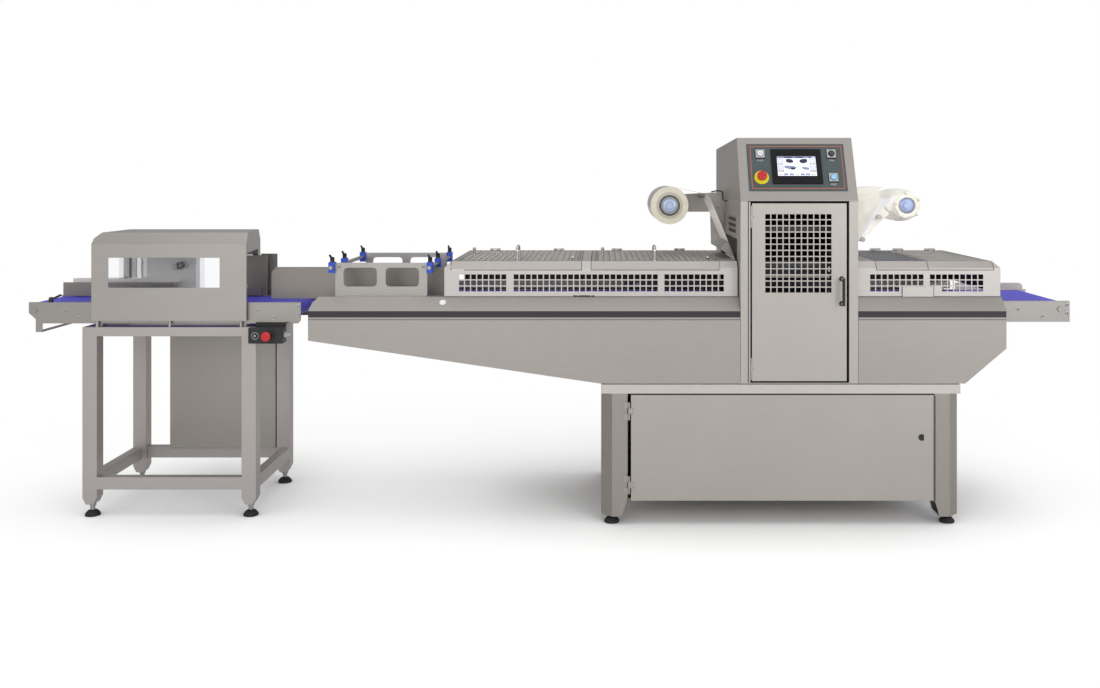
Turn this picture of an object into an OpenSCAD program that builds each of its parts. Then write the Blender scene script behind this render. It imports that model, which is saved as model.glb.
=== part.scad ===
// In-line tray sealer with its infeed module.
// X runs from infeed to outfeed, Y from the front to the back, and Z up from the floor.
// The tower's centre line is X = 0 and the body's front Y = 0, until placed() centres the line.

/* [Machine body] */
// Depth of the body
body_d = 824; // [760:2:900]
// Length of the body left of the tower
body_left_l = 1765; // [1700:5:1900]
// Length of the body right of the tower
body_right_l = 605; // [580:5:700]
// Height of the deck above the floor
deck_z = 924; // [915:1:935]
// Height of the sloped band under the deck
band_h = 52; // [45:1:60]
// Depth of the sloped band
band_d = 57; // [45:1:64]
// Height of the belly above the floor
belly_z = 576; // [560:1:600]
// Height of the nose's lower corner above the belly
nose_rise = 175; // [150:1:200]
// Height of the tail's lower corner above the belly
tail_rise = 143; // [130:1:160]
// Length of flat belly left of the tower
belly_left_l = 573; // [540:1:620]
// Length of flat belly right of the tower
belly_right_l = 437; // [410:1:470]
// Thickness of the stainless sheet
sheet = 3; // [2:0.5:4]
// Width of the flat ledge behind the sloped band
ledge_w = 50; // [40:1:52]
// Gap at the seams between panels
seam_gap = 1; // [0.5:0.5:2]

/* [Tower] */
// Width of the tower
tower_w = 480; // [460:2:520]
// Depth of the tower
tower_d = 930; // [900:5:1000]
// Height of the column above the floor
column_z = 1321; // [1305:1:1340]
// Width of the front posts beside the door
post_w = 40; // [34:1:46]
// Gap around the door
door_gap = 7; // [5:1:9]
// Depth of the folded door
door_t = 20; // [16:1:24]
// Height of the control head
head_h = 262; // [250:1:290]
// How far the head's face leans back
head_lean = 125; // [100:1:140]
// Fall of the head's roof to the back
head_fall = 30; // [20:1:45]

/* [Perforation] */
// Side of a square hole
hole_w = 20; // [16:1:21]
// Pitch of the holes
hole_pitch = 25; // [24:1:27]

/* [Controls] */
// Width of the control plate
plate_w = 405; // [395:1:420]
// Height of the control plate along the slope
plate_h = 216; // [210:1:220]
// Width of the touch terminal
hmi_w = 206; // [196:1:212]
// Height of the touch terminal
hmi_h = 157; // [150:1:162]
// Distance of the buttons from the centre line
button_x = 148; // [140:1:152]
// Pitch of the buttons along the slope
button_pitch = 109; // [100:1:114]
// Diameter of a push-button
button_dia = 24; // [22:1:26]
// Side of a square button bezel
bezel_w = 37; // [34:1:40]
// Travel of a push-button
button_travel = 3; // [2:0.5:4]
// Diameter of an emergency stop head
stop_dia = 40; // [36:1:42]
// Diameter of the yellow disc
disc_dia = 60; // [56:1:64]
// Travel of an emergency stop
stop_travel = 5; // [4:0.5:6]

/* [Guards] */
// Height of the guards above the deck
guard_h = 145; // [130:1:160]
// Size of the guards' folded chamfer
guard_cut = 26; // [20:1:30]
// Length of the left guard
left_guard_l = 1212; // [1180:2:1240]
// Length of the right guard
right_guard_l = 596; // [580:2:600]
// Width of the bridge between the left lids
bridge_w = 37; // [30:1:44]
// Gap around a lid
lid_gap = 2; // [1.5:0.5:3]
// Thickness of a lid
lid_t = 2.5; // [2:0.5:3]
// Depth of the strip behind the lids
rear_strip_w = 30; // [26:1:34]
// Length of the roof strip at the film inlet
inlet_strip_l = 72; // [68:1:80]
// Length of the roof strip at the film outlet
outlet_strip_l = 85; // [80:1:90]

/* [Base] */
// Length of the base
base_l = 1465; // [1420:5:1480]
// Inset of the base's right side from the belly
base_inset = 20; // [10:1:30]
// Width of a base leg
leg_w = 106; // [90:1:116]
// Height of the top rail
top_rail_h = 37; // [32:1:44]
// Height of a leg above the floor
foot_top_z = 33; // [30:1:40]
// Height of the cabinet door above the floor
cabinet_z = 98; // [90:1:110]
// Diameter of a levelling foot
foot_dia = 62; // [56:1:70]

/* [Conveyors] */
// Height of the belts above the floor
belt_z = 890; // [884:1:894]
// Distance from the body's front to the main belts
belt_inset = 187; // [184:1:197]
// Width of the infeed module's belt
infeed_belt_w = 250; // [240:2:260]
// Thickness of a belt
belt_t = 8; // [6:0.5:9]
// Diameter of a belt roller
roller_dia = 44; // [40:1:48]
// Diameter of a roller shaft
shaft_dia = 20; // [16:1:24]
// Length of the outfeed rails past the body
outfeed_l = 331; // [310:1:360]

/* [Infeed station] */
// Distance from the left guard to the station's plates
station_gap = 75; // [65:1:90]
// Length of a station plate
station_l = 383; // [370:1:400]
// Height of a station plate
station_h = 138; // [130:1:146]
// Diameter of the cross rods
cross_rod_dia = 16; // [14:1:18]
// Length of the lane guide panel
guide_l = 778; // [770:1:800]
// Height of the lane guide panel
guide_h = 130; // [124:1:136]

/* [Reels] */
// Distance of the film roll's axis from the tower
film_x = 274; // [265:1:285]
// Distance of the rewinder's axis from the tower
scrap_x = 264; // [255:1:275]
// Height of the reels above the deck
reel_h = 372; // [365:1:385]
// Radius of the full film roll
film_roll_r = 81; // [70:1:84]
// Radius of the scrap roll
scrap_roll_r = 66; // [60:1:72]
// Width of the film
film_w = 335; // [320:1:345]

/* [Infeed module] */
// Gap between the module and the machine's nose
module_gap = 62; // [50:1:80]
// Length of the module's conveyor
module_l = 1140; // [1120:5:1160]
// Distance from the module's right end to the stand
stand_inset = 182; // [175:1:190]
// Length of the stand
stand_l = 724; // [715:1:740]
// Depth of the stand
stand_d = 555; // [530:5:600]
// Width of a stand leg
stand_leg_w = 60; // [50:1:64]
// Height of the stand above the floor
stand_z = 792; // [785:1:795]
// Height of the stand's top rail
stand_rail_h = 38; // [30:1:44]
// Height of the hood above the stand
hood_lift = 26; // [20:1:30]
// Length of the hood at its front
hood_l = 646; // [630:2:660]
// Height of the hood
hood_h = 367; // [355:1:380]
// Depth of the hood
hood_d = 370; // [360:2:380]
// Size of the hood's roof chamfer
hood_cut = 47; // [40:1:52]

/* [Tools] */
// Distance from the tower's side to the tool plates
tool_inset = 45; // [40:1:50]
// Width of the wall round the tray pockets
tray_rim = 18; // [14:1:26]
// Lift of the lower tool
tool_lift = 100; // [60:5:100]
// Travel of the sealing head
seal_travel = 12; // [8:1:12]
// Opening of each tray gripper
gripper_travel = 25; // [15:1:25]

/* [Hidden] */
$fn = 48;
over = 1;
seat = 0.3;
fit = 0.05;
arc_steps = 6;

steel = [0.67, 0.65, 0.63];
bright = [0.75, 0.75, 0.76];
black = [0.08, 0.08, 0.09];
belt_blue = [0.37, 0.35, 0.8];
clamp_blue = [0.12, 0.28, 0.78];

left_x = -tower_w / 2;
right_x = tower_w / 2;
body_x0 = left_x - body_left_l;
body_x1 = right_x + body_right_l;
belly_x0 = left_x - belly_left_l;
belly_x1 = right_x + belly_right_l;
band_z = deck_z - band_h;
lip_h = 34;
lane_y = body_d / 2;
belt_y0 = belt_inset;
belt_y1 = body_d - belt_inset;
ledge_y = band_d + ledge_w;
nose_cut = 30;
nose_round = 8;

// The tower's door
door_x0 = left_x + post_w + door_gap;
door_x1 = right_x - post_w - door_gap;
door_z0 = belly_z + sheet + door_gap;
door_z1 = column_z - sheet - door_gap;
flange_w = 22;
seal_t = 5;
slot_z0 = 805;
slot_z1 = 1160;
slot_y0 = ledge_y + sheet;

// The conveyors
rail_d = 14;
rail_gap = 3;
rail_h = 88;
rail_rise = 3;
rail_z1 = belt_z + rail_rise;
rail_z0 = rail_z1 - rail_h;
roller_r = roller_dia / 2;
track_r = roller_r + seat;
belt_r = track_r + belt_t;
roller_z = belt_z - belt_r;
bed_t = 4;
transfer_gap = 12;
main_inset = 40;
main_x0 = body_x0 + main_inset;
main_x1 = left_x - transfer_gap;
out_x0 = right_x + transfer_gap;
out_x1 = body_x1 + outfeed_l;

// The guards
guard_y0 = band_d;
guard_y1 = body_d - band_d;
roof_z = deck_z + guard_h;
lid_bias = 4;
lid_drop = 10;
wall_z = roof_z - guard_cut - lid_drop;
guard_gap = 5;
guard_1_x1 = left_x - guard_gap;
guard_1_x0 = guard_1_x1 - left_guard_l;
guard_2_x0 = right_x + guard_gap;
guard_2_x1 = guard_2_x0 + right_guard_l;
hinge_dia = 10;
pin_dia = 5;
hinge_y = guard_y1 - rear_strip_w;
hinge_z = roof_z + hinge_dia / 2;
lid_y = hinge_y - hinge_dia;
left_lids_l = left_guard_l - guard_cut - bridge_w - inlet_strip_l - 4 * lid_gap;
lid_1_x0 = guard_1_x0 + guard_cut + lid_gap;
lid_1_x1 = lid_1_x0 + left_lids_l / 2 + lid_bias;
lid_2_x0 = lid_1_x1 + 2 * lid_gap + bridge_w;
lid_2_x1 = guard_1_x1 - inlet_strip_l - lid_gap;
right_split_x = guard_2_x0 + right_guard_l / 2;
lid_3_x0 = guard_2_x0 + outlet_strip_l;
lid_3_x1 = right_split_x - lid_gap / 2;
lid_4_x0 = right_split_x + lid_gap / 2;
lid_4_x1 = guard_2_x1 - guard_cut - lid_gap;

// The base
base_x1 = belly_x1 - base_inset;
base_x0 = base_x1 - base_l;
base_gap = 4;
base_top_z = belly_z - base_gap;
sill_z = base_top_z - top_rail_h;
base_y0 = 0;
base_y1 = body_d;
leg_t = 6;
leg_chamfer = 44;
foot_inset = 43;
foot_pad_h = 25;
foot_rim_h = 7.5;
foot_neck_h = 5;
foot_stem_dia = 20;
foot_dome_x = 12;
cabinet_stile_w = 15;
cabinet_gap = 2;
cabinet_top_gap = 6;
cabinet_x0 = base_x0 + leg_w + cabinet_stile_w;
cabinet_x1 = base_x1 - leg_w - cabinet_gap;
cab_top_z = sill_z - cabinet_top_gap;
cab_door_t = 22;

// The reels
reel_z = deck_z + reel_h;
unwind_x = left_x - film_x;
rewind_x = right_x + scrap_x;
film_y1 = lane_y + film_w / 2;
film_y0 = lane_y - film_w / 2;
arm_gap = 20;
arm_y0 = film_y1 + arm_gap;
arm_t = 10;
mandrel_dia = 30;
reel_disc_r = 36;
bar_dia = 20;

// Guide bars, from the tower's side and the reels' axis
film_bar_at = [113, 38];
scrap_bar_at = [146, 49];
low_bar_at = [76, 146];
film_bar_x = left_x - film_bar_at[0];
film_bar_z = reel_z + film_bar_at[1];
scrap_bar_x = right_x + scrap_bar_at[0];
scrap_bar_z = reel_z - scrap_bar_at[1];
low_bar_x = right_x + low_bar_at[0];
low_bar_z = reel_z - low_bar_at[1];

// The infeed station and its lane guide
station_x1 = guard_1_x0 - station_gap;
station_x0 = station_x1 - station_l;
station_inset = 30;
station_back = 90;
station_y0 = band_d + station_inset;
station_y1 = body_d - band_d - station_back;
station_t = 4;
cross_drop = 19;
cross_z = deck_z + station_h - cross_drop;
clamp_w = 24;
cross_x = [station_x0 - clamp_w / 2, station_x1 + clamp_w / 2];
clamp_h = 44;
guide_t = 4;
guide_side = 164;
guide_overlap = 6;
guide_y = lane_y - guide_side;
guide_x1 = guard_1_x0 + guide_overlap;
guide_x0 = guide_x1 - guide_l;
plate_gap = 5;
guide_z0 = belt_z + plate_gap;

// The infeed module
feed_x1 = body_x0 - module_gap;
feed_x0 = feed_x1 - module_l;
stand_x1 = feed_x1 - stand_inset;
stand_x0 = stand_x1 - stand_l;
stand_y0 = 100;
stand_y1 = stand_y0 + stand_d;
infeed_inset = 20;
in_y0 = stand_y0 + infeed_inset;
in_belt_y0 = in_y0 + rail_d + rail_gap;
in_belt_y1 = in_belt_y0 + infeed_belt_w;
in_y1 = in_belt_y1 + rail_gap + rail_d;
low_z = 115;
low_h = 51;
stand_foot_in = 30;
hood_proud = 4;
hood_y0 = stand_y0 - hood_proud;
hood_y1 = hood_y0 + hood_d;
hood_z0 = stand_z + hood_lift;
hood_z1 = hood_z0 + hood_h;
hood_inset = 39;
hood_x0 = stand_x0 + hood_inset;
hood_x1 = hood_x0 + hood_l;
hood_hip = 24;
hood_skew = 56;
hood_t = 3;
tunnel_drop = 38;
tunnel_z1 = hood_z1 - hood_cut - tunnel_drop;
box_w = 141;
box_h = 64;
box_d = 56;
box_overlap = 14;
box_rise = 4;
box_x0 = stand_x1 - box_overlap;
box_z1 = stand_z + box_rise;
box_y0 = stand_y0 - box_d;

// The tools in the tower
column_dia = 40;
tool_l = tower_w - 2 * tool_inset;
column_in_x = 25;
pitch_x = tool_l - 2 * column_in_x;
plate_z = 740;
plate_d = 25;
block_side = 35;
block_inset_y = 202;
block_w = tool_l - 2 * block_side;
block_d = body_d - 2 * block_inset_y;
tray_wall = 5;
tray_w = block_w / 2 - tray_wall - tray_rim;
tray_l = block_d / 2 - tray_wall - tray_rim;
block_h = 120;
head_block_h = 47;
seal_clear = 1;
head_z = plate_z + plate_d + block_h + tool_lift + seal_travel + seal_clear + head_block_h;
yoke_z = 1190;
yoke_t = 25;
grip_w = 18;
grip_h = 25;
grip_z = 905;
grip_reach = [460, 90];
grip_gap = 12;
clear_y = 5;
column_in_y = block_inset_y - grip_gap - grip_w - gripper_travel - column_dia / 2 - clear_y;
pitch_y = body_d - 2 * column_in_y;
grip_x0 = left_x - grip_reach[0];
grip_x1 = right_x + grip_reach[1];
grip_y = lane_y - block_d / 2 - grip_gap;
grip_rod_dia = 16;
grip_rod_inset = 60;
grip_rod_near = 50;
grip_rod_x = [grip_x0 + grip_rod_inset, left_x - grip_rod_near, right_x + grip_rod_near];

handle_reach = 44;

module placed() translate([-(feed_x0 + out_x1) / 2, (handle_reach - tower_d) / 2, 0]) children();

module bar(x0, x1, y0, y1, z0, z1) translate([x0, y0, z0]) cube([x1 - x0, y1 - y0, z1 - z0]);

// Extrudes a [y, z] profile along X
module along_x(x0, x1) translate([x0, 0, 0]) rotate([90, 0, 90]) linear_extrude(x1 - x0) children();

// Extrudes an [x, z] profile along Y
module along_y(y0, y1) translate([0, y1, 0]) rotate([90, 0, 0]) linear_extrude(y1 - y0) children();

module rod_x(x0, x1, y, z, dia) translate([x0, y, z]) rotate([0, 90, 0]) cylinder(d = dia, h = x1 - x0);

module rod_y(y0, y1, x, z, dia) translate([x, y0, z]) rotate([-90, 0, 0]) cylinder(d = dia, h = y1 - y0);

module rod_z(z0, z1, x, y, dia) translate([x, y, z0]) cylinder(d = dia, h = z1 - z0);

module far_y() translate([0, body_d, 0]) mirror([0, 1, 0]) children();

module mirrored_y() {
  children();
  far_y() children();
}

function arc(cx, cz, r, a0, a1, n = arc_steps) =
  [for (i = [0:n]) [cx + r * cos(a0 + (a1 - a0) * i / n), cz + r * sin(a0 + (a1 - a0) * i / n)]];

function rounded(x0, x1, z0, z1, r) = concat(
  arc(x1 - r, z0 + r, r, -90, 0), arc(x1 - r, z1 - r, r, 0, 90),
  arc(x0 + r, z1 - r, r, 90, 180), arc(x0 + r, z0 + r, r, 180, 270));

// A loop round two rollers of one radius
function loop(xa, xb, z, r) = concat(arc(xa, z, r, 90, 270, 2 * arc_steps), arc(xb, z, r, -90, 90,
  2 * arc_steps));

module hole_grid(x0, z0, columns, rows) {
  for (i = [0:columns - 1], j = [0:rows - 1])
    translate([x0 + i * hole_pitch, z0 + j * hole_pitch]) square(hole_w);
}

// A screw head on a plate that faces -Y
module screw_front(x, y, z, dia) translate([x, y, z]) rotate([90, 0, 0]) cylinder(d = dia,
  h = dia * rise_share);

rise_share = 0.35;
screw_dia = 14;

// Places its children on the head's face, with -Y out of it and Z up the slope
module on_face(x, up) translate([0, 0, column_z]) rotate([-face_tilt, 0, 0]) translate([x, 0, up]) children();

face_tilt = atan2(head_lean, head_h);
face_l = norm([head_lean, head_h]);
plate_shift = 7;
button_shift = 6;
plate_up = (face_l - plate_h) / 2 + plate_shift;
low_up = plate_up + plate_h / 2 - button_pitch / 2 + button_shift;
high_up = low_up + button_pitch;
plate_t = 2;
hmi_t = 7;
hmi_up = plate_up + (plate_h - hmi_h) / 2 + plate_t;

// Vertical face, sloped band, ledge and lip
module panel_section() {
  tilt = atan2(band_h, band_d);
  polygon([
    [0, belly_z], [0, band_z], [band_d, deck_z], [ledge_y, deck_z], [ledge_y, deck_z - lip_h],
    [ledge_y - sheet, deck_z - lip_h], [ledge_y - sheet, deck_z - sheet],
    [band_d + sheet * (1 - cos(tilt)) / sin(tilt), deck_z - sheet],
    [sheet, band_z - sheet * (1 - sin(tilt)) / cos(tilt)], [sheet, belly_z]
  ]);
}

module left_outline() polygon([
  [body_x0, belly_z + nose_rise], [body_x0, band_z], [body_x0 + nose_round, deck_z - nose_cut + nose_round],
  [body_x0 + nose_cut, deck_z], [left_x - seam_gap, deck_z], [left_x - seam_gap, belly_z],
  [belly_x0, belly_z]
]);

module right_outline() polygon([
  [right_x + seam_gap, belly_z], [right_x + seam_gap, deck_z], [body_x1, deck_z],
  [body_x1, belly_z + tail_rise], [belly_x1, belly_z]
]);

module body_panels() placed() color(steel) mirrored_y() difference() {
  union() {
    for (x = grip_rod_x)
      rod_y(ledge_y - sheet / 2, grip_y, x, grip_z + grip_h / 2, grip_rod_dia);
    intersection() {
      along_x(body_x0, left_x) panel_section();
      along_y(-over, lane_y) left_outline();
    }
    intersection() {
      along_x(right_x, body_x1) panel_section();
      along_y(-over, lane_y) right_outline();
    }
  }
  bar(body_x1 - sheet, body_x1 + over, belt_y0 - mouth_side, lane_y, rail_z0 - mouth_gap, deck_z + over);
}

// The pan turns up at both ends
module belly_pan() placed() color(steel) {
  nose_z = belly_z + nose_rise;
  tail_z = belly_z + tail_rise;
  left_top = roller_z - belt_r - 2 * mouth_gap;
  right_top = rail_z0 - mouth_gap;
  along_y(sheet, body_d - sheet) polygon([
    [body_x0, left_top], [body_x0, nose_z], [belly_x0, belly_z], [belly_x1, belly_z], [body_x1, tail_z],
    [body_x1, right_top], [body_x1 - sheet, right_top], [body_x1 - sheet, tail_z + sheet / 2],
    [belly_x1 - sheet / 2, belly_z + sheet], [belly_x0 + sheet / 2, belly_z + sheet],
    [body_x0 + sheet, nose_z + sheet / 2], [body_x0 + sheet, left_top]
  ]);
  upper_z = deck_z - nose_r - nose_drop;
  lower_z = upper_z - nose_step;
  lower_r = nose_r - nose_tuck;
  translate([body_x0 + nose_cover_x, 0, 0]) along_y(ledge_y, body_d - ledge_y) polygon(concat(
    arc(0, upper_z, nose_r, 90, 180), arc(0, lower_z, lower_r, 180, 250), [[0,
      lower_z - nose_r + nose_tuck / 2]],
    arc(0, lower_z, lower_r - sheet, 250, 180), arc(0, upper_z, nose_r - sheet, 180, 90)));
}

mouth_side = 40;
mouth_gap = 5;
nose_r = 38;
nose_drop = 40;
nose_step = 26;
nose_tuck = 6;
nose_cover_x = 30;

module tower_column() placed() color(steel) difference() {
  union() {
    translate([0, 0, belly_z]) linear_extrude(column_z - belly_z) {
      translate([left_x, 0]) square([sheet, tower_d]);
      translate([right_x - sheet, 0]) square([sheet, tower_d]);
      translate([left_x, tower_d - sheet]) square([tower_w, sheet]);
      for (side = [0, 1]) mirror([side, 0]) {
        translate([left_x, 0]) square([post_w, sheet]);
        translate([left_x + post_w - sheet, 0]) square([sheet, door_t + seal_t + sheet + seat]);
        translate([left_x + post_w - sheet, door_t + seal_t + seat]) square([flange_w, sheet]);
      }
    }
    for (z = [belly_z, column_z - sheet])
      bar(left_x, right_x, 0, door_t + seal_t + sheet + seat, z, z + sheet);
    for (z = [belly_z, column_z - flange_w])
      bar(left_x, right_x, door_t + seal_t + seat, door_t + seal_t + sheet + seat, z, z + flange_w);
  }
  bar(left_x - over, right_x + over, slot_y0, body_d - slot_y0, slot_z0, slot_z1);
  bar(left_x - over, right_x + over, sheet, body_d - sheet, belly_z - over, belly_z + sheet);
  along_x(left_x - over, left_x + sheet + over) hole_grid(vent_y0, vent_z0, vent_columns, vent_rows);
}

vent_y0 = 158;
vent_z0 = 1181;
vent_columns = 10;
vent_rows = 3;

// A folded box with a leaning face
module head_profile(inset) {
  lean = inset / cos(face_tilt);
  polygon([
    [lean, column_z - (inset > 0 ? over : 0)],
    [head_lean + lean, column_z + head_h - inset],
    [tower_d - inset, column_z + head_h - head_fall - inset],
    [tower_d - inset, column_z - (inset > 0 ? over : 0)]
  ]);
}

module control_head() placed() color(steel) difference() {
  along_x(left_x, right_x) head_profile(0);
  along_x(left_x + sheet, right_x - sheet) head_profile(sheet);
  cutouts(sheet * 3);
}

module cutouts(depth) {
  on_face(-hmi_w / 2 + bezel_lap, hmi_up + bezel_lap) translate([0, -depth, 0])
    cube([hmi_w - 2 * bezel_lap, 2 * depth, hmi_h - 2 * bezel_lap]);
  for (x = [-button_x, button_x], up = [low_up, high_up])
    on_face(x, up) rod_y(-depth, depth, 0, 0, barrel_dia + 2 * fit);
}

bezel_lap = 8;
barrel_dia = 22;

module control_plate() placed() color([0.27, 0.32, 0.33]) difference() {
  on_face(-plate_w / 2, plate_up) translate([0, -plate_t, 0]) cube([plate_w, plate_t, plate_h]);
  cutouts(sheet * 3);
}

module touch_terminal() placed() color(black) {
  rim = 19;
  foot = 28;
  glass_t = 2;
  on_face(-hmi_w / 2, hmi_up) {
    difference() {
      translate([0, -plate_t - hmi_t, 0]) cube([hmi_w, hmi_t, hmi_h]);
      translate([rim, -plate_t - hmi_t - over, foot])
        cube([hmi_w - 2 * rim, glass_t + over, hmi_h - rim - foot]);
    }
    translate([rim, -plate_t - hmi_t + glass_t / 2, foot])
      cube([hmi_w - 2 * rim, glass_t / 2, hmi_h - rim - foot]);
    translate([bezel_lap + seat, -plate_t, bezel_lap + seat])
      cube([hmi_w - 2 * (bezel_lap + seat), hmi_back_d, hmi_h - 2 * (bezel_lap + seat)]);
  }
}

hmi_back_d = 40;

// The three square-bezelled buttons
buttons = [[-button_x, high_up], [button_x, high_up], [button_x, low_up]];
bezel_h = 6;
cap_rise = 5;
barrel_l = 34;

module button_bezels() placed() color(bright) for (place = buttons) on_face(place[0], place[1]) difference() {
  union() {
    translate([-bezel_w / 2, -plate_t - bezel_h, -bezel_w / 2]) cube([bezel_w, bezel_h, bezel_w]);
    rod_y(-plate_t, barrel_l, 0, 0, barrel_dia);
  }
  rod_y(-plate_t - bezel_h - over, -plate_t - bezel_floor_t, 0, 0, button_dia + 2 * fit);
  rod_y(-plate_t - bezel_h, barrel_l - bezel_h, 0, 0, stem_dia + 2 * fit);
}

bezel_floor_t = 1.4;
cap_stop_d = 6;
stem_dia = 12;

module push_button(place) on_face(place[0], place[1]) {
  rod_y(-plate_t - bezel_h - cap_rise, -plate_t - bezel_floor_t - button_travel - seat, 0, 0, button_dia);
  rod_y(-plate_t - bezel_h, barrel_l - bezel_h - button_travel - 2 * seat, 0, 0, stem_dia);
}

module start_button() placed() color([0.95, 0.95, 0.95]) push_button(buttons[0]);

module stop_button() placed() color(black) push_button(buttons[1]);

module reset_button() placed() color([0.35, 0.65, 0.95]) push_button(buttons[2]);

// A mushroom head and its plunger, on a disc's face at Y = 0
module mushroom() {
  stem_l = 12;
  cap_l = 14;
  rotate([90, 0, 0]) rotate_extrude() polygon(concat(
    [[0, -stem_depth], [stem_dia / 2, -stem_depth], [stem_dia / 2, stem_l + seat],
      [stop_dia / 2 - 2 * seat, stem_l + seat]],
    arc(stop_dia / 2 - cap_l / 2, stem_l + seat + cap_l / 2, cap_l / 2, 0, 90),
    [[0, stem_l + seat + cap_l]]));
}

stem_depth = 20;
collar_h = 5;

// A yellow disc with its collar, its back at Y = 0
module stop_collar() difference() {
  union() {
    rod_y(-collar_h, 0, 0, 0, disc_dia);
    rod_y(-collar_h - seat, stem_depth + stop_travel + collar_h, 0, 0, barrel_dia);
  }
  rod_y(-2 * collar_h, stem_depth + stop_travel, 0, 0, stem_dia + 2 * fit);
}

box_stop_share = 0.56;
box_button_share = 0.2;
box_stop_x = box_x0 + box_w * box_stop_share;
box_cap_x = box_x0 + box_w * box_button_share;
box_mid_z = box_z1 - box_h / 2;

module stop_collars() placed() color([0.95, 0.85, 0.1]) {
  on_face(-button_x, low_up) translate([0, -plate_t, 0]) stop_collar();
  translate([box_stop_x, box_y0, box_mid_z]) stop_collar();
}

module panel_stop() placed() color([0.85, 0.08, 0.08])
  on_face(-button_x, low_up) translate([0, -plate_t - collar_h, 0]) mushroom();

module stand_stop() placed() color([0.85, 0.08, 0.08])
  translate([box_stop_x, box_y0 - collar_h, box_mid_z]) mushroom();

module door_seal() placed() color(black) difference() {
  bar(left_x + post_w, right_x - post_w, door_t + seat, door_t + seal_t + seat,
    belly_z + sheet, column_z - sheet);
  bar(left_x + post_w + flange_w - sheet, right_x - post_w - flange_w + sheet,
    0, tower_d, belly_z + flange_w, column_z - flange_w);
}

// A folded tray with a window of square holes
door_columns = 11;
door_rows = 13;
door_grid_w = (door_columns - 1) * hole_pitch + hole_w;
door_grid_h = (door_rows - 1) * hole_pitch + hole_w;
door_grid_shift = 4;
door_head_h = 44;
door_grid_x0 = -door_grid_w / 2 - door_grid_shift;
door_grid_z1 = door_z1 - door_head_h;

module tower_door() placed() color(steel) {
  difference() {
    along_y(0, door_t) difference() {
      translate([door_x0, door_z0]) square([door_x1 - door_x0, door_z1 - door_z0]);
      hole_grid(door_grid_x0, door_grid_z1 - door_grid_h, door_columns, door_rows);
    }
    bar(door_x0 + sheet, door_x1 - sheet, sheet, door_t + over, door_z0 + sheet, door_z1 - sheet);
    for (z = hinge_zs) rod_z(z - hinge_l, z + hinge_l, pivot_x, pivot_y, door_knuckle_dia + 2 * seat);
  }
  for (z = hinge_zs) difference() {
    union() {
      rod_z(z - hinge_l / 2, z + hinge_l / 2, pivot_x, pivot_y, door_knuckle_dia);
      bar(pivot_x, door_x0 + sheet, pivot_y - leaf_t / 2, pivot_y + leaf_t / 2, z - hinge_l / 2,
        z + hinge_l / 2);
      bar(door_x0, door_x0 + sheet, pivot_y - leaf_t / 2, door_t / 2, z - hinge_l / 2, z + hinge_l / 2);
    }
    rod_z(z - hinge_l, z + hinge_l, pivot_x, pivot_y, door_pin_dia + 2 * fit);
  }
}

pivot_x = door_x0 - door_gap / 2;
pivot_y = 0;
door_knuckle_dia = 6;
door_pin_dia = 3;
hinge_l = 30;
hinge_inset = [50, 55];
hinge_zs = [door_z0 + hinge_inset[0], door_z1 - hinge_inset[1]];
handle_inset = 20;
handle_drop = 358;
handle_x = door_x1 - handle_inset;
handle_z = door_z1 - handle_drop;
handle_l = 113;
handle_dia = 12;

module door_handle() placed() color(black) {
  for (z = [handle_z - handle_l / 2 + handle_dia / 2, handle_z + handle_l / 2 - handle_dia / 2])
    rod_y(-handle_reach + handle_dia / 2, 0, handle_x, z, handle_dia);
  rod_z(handle_z - handle_l / 2, handle_z + handle_l / 2, handle_x, -handle_reach + handle_dia / 2,
    handle_dia);
}

// The hinge axis stands in front of the door's left edge
cab_out = 8;
cab_inset = 65;
cab_x = cabinet_x0 - cab_out;
cab_y = -5;
cab_l = 48;
cab_dia = 9;
cab_pin_dia = 5;
cab_zs = [cabinet_z + cab_inset, cab_top_z - cab_inset];

module fixed_hinges() placed() color(bright) {
  for (z = hinge_zs) {
    rod_z(z - 1.5 * hinge_l, z + 1.5 * hinge_l, pivot_x, pivot_y, door_pin_dia);
    for (end = [-1, 1]) {
      zc = z + end * (hinge_l + seat);
      rod_z(zc - hinge_l / 2, zc + hinge_l / 2, pivot_x, pivot_y, door_knuckle_dia);
      bar(left_x + post_w, pivot_x, pivot_y - leaf_t / 2, pivot_y + leaf_t / 2, zc - hinge_l / 2,
        zc + hinge_l / 2);
    }
  }
  for (z = cab_zs) {
    rod_z(z - 0.75 * cab_l, z + 0.75 * cab_l, cab_x, cab_y, cab_pin_dia);
    for (end = [-1, 1]) {
      zc = z + end * (cab_l / 2 + seat);
      rod_z(zc - cab_l / 4, zc + cab_l / 4, cab_x, cab_y, cab_dia);
      bar(base_x0 + leg_w - cab_leaf_l, cab_x, -cab_leaf_t, 0, zc - cab_l / 4, zc + cab_l / 4);
    }
  }
}

// Four columns, a foot plate, a crosshead and the two cylinders
column_x = [-pitch_x / 2, pitch_x / 2];
column_y = [lane_y - pitch_y / 2, lane_y + pitch_y / 2];
press_dia = 100;
piston_dia = 40;
floor_z = belly_z + sheet;
lift_gap = 20;
lift_top_z = plate_z - lift_gap;
yoke_edge = 25;
tool_edge = 30;
seal_h = 80;

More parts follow.
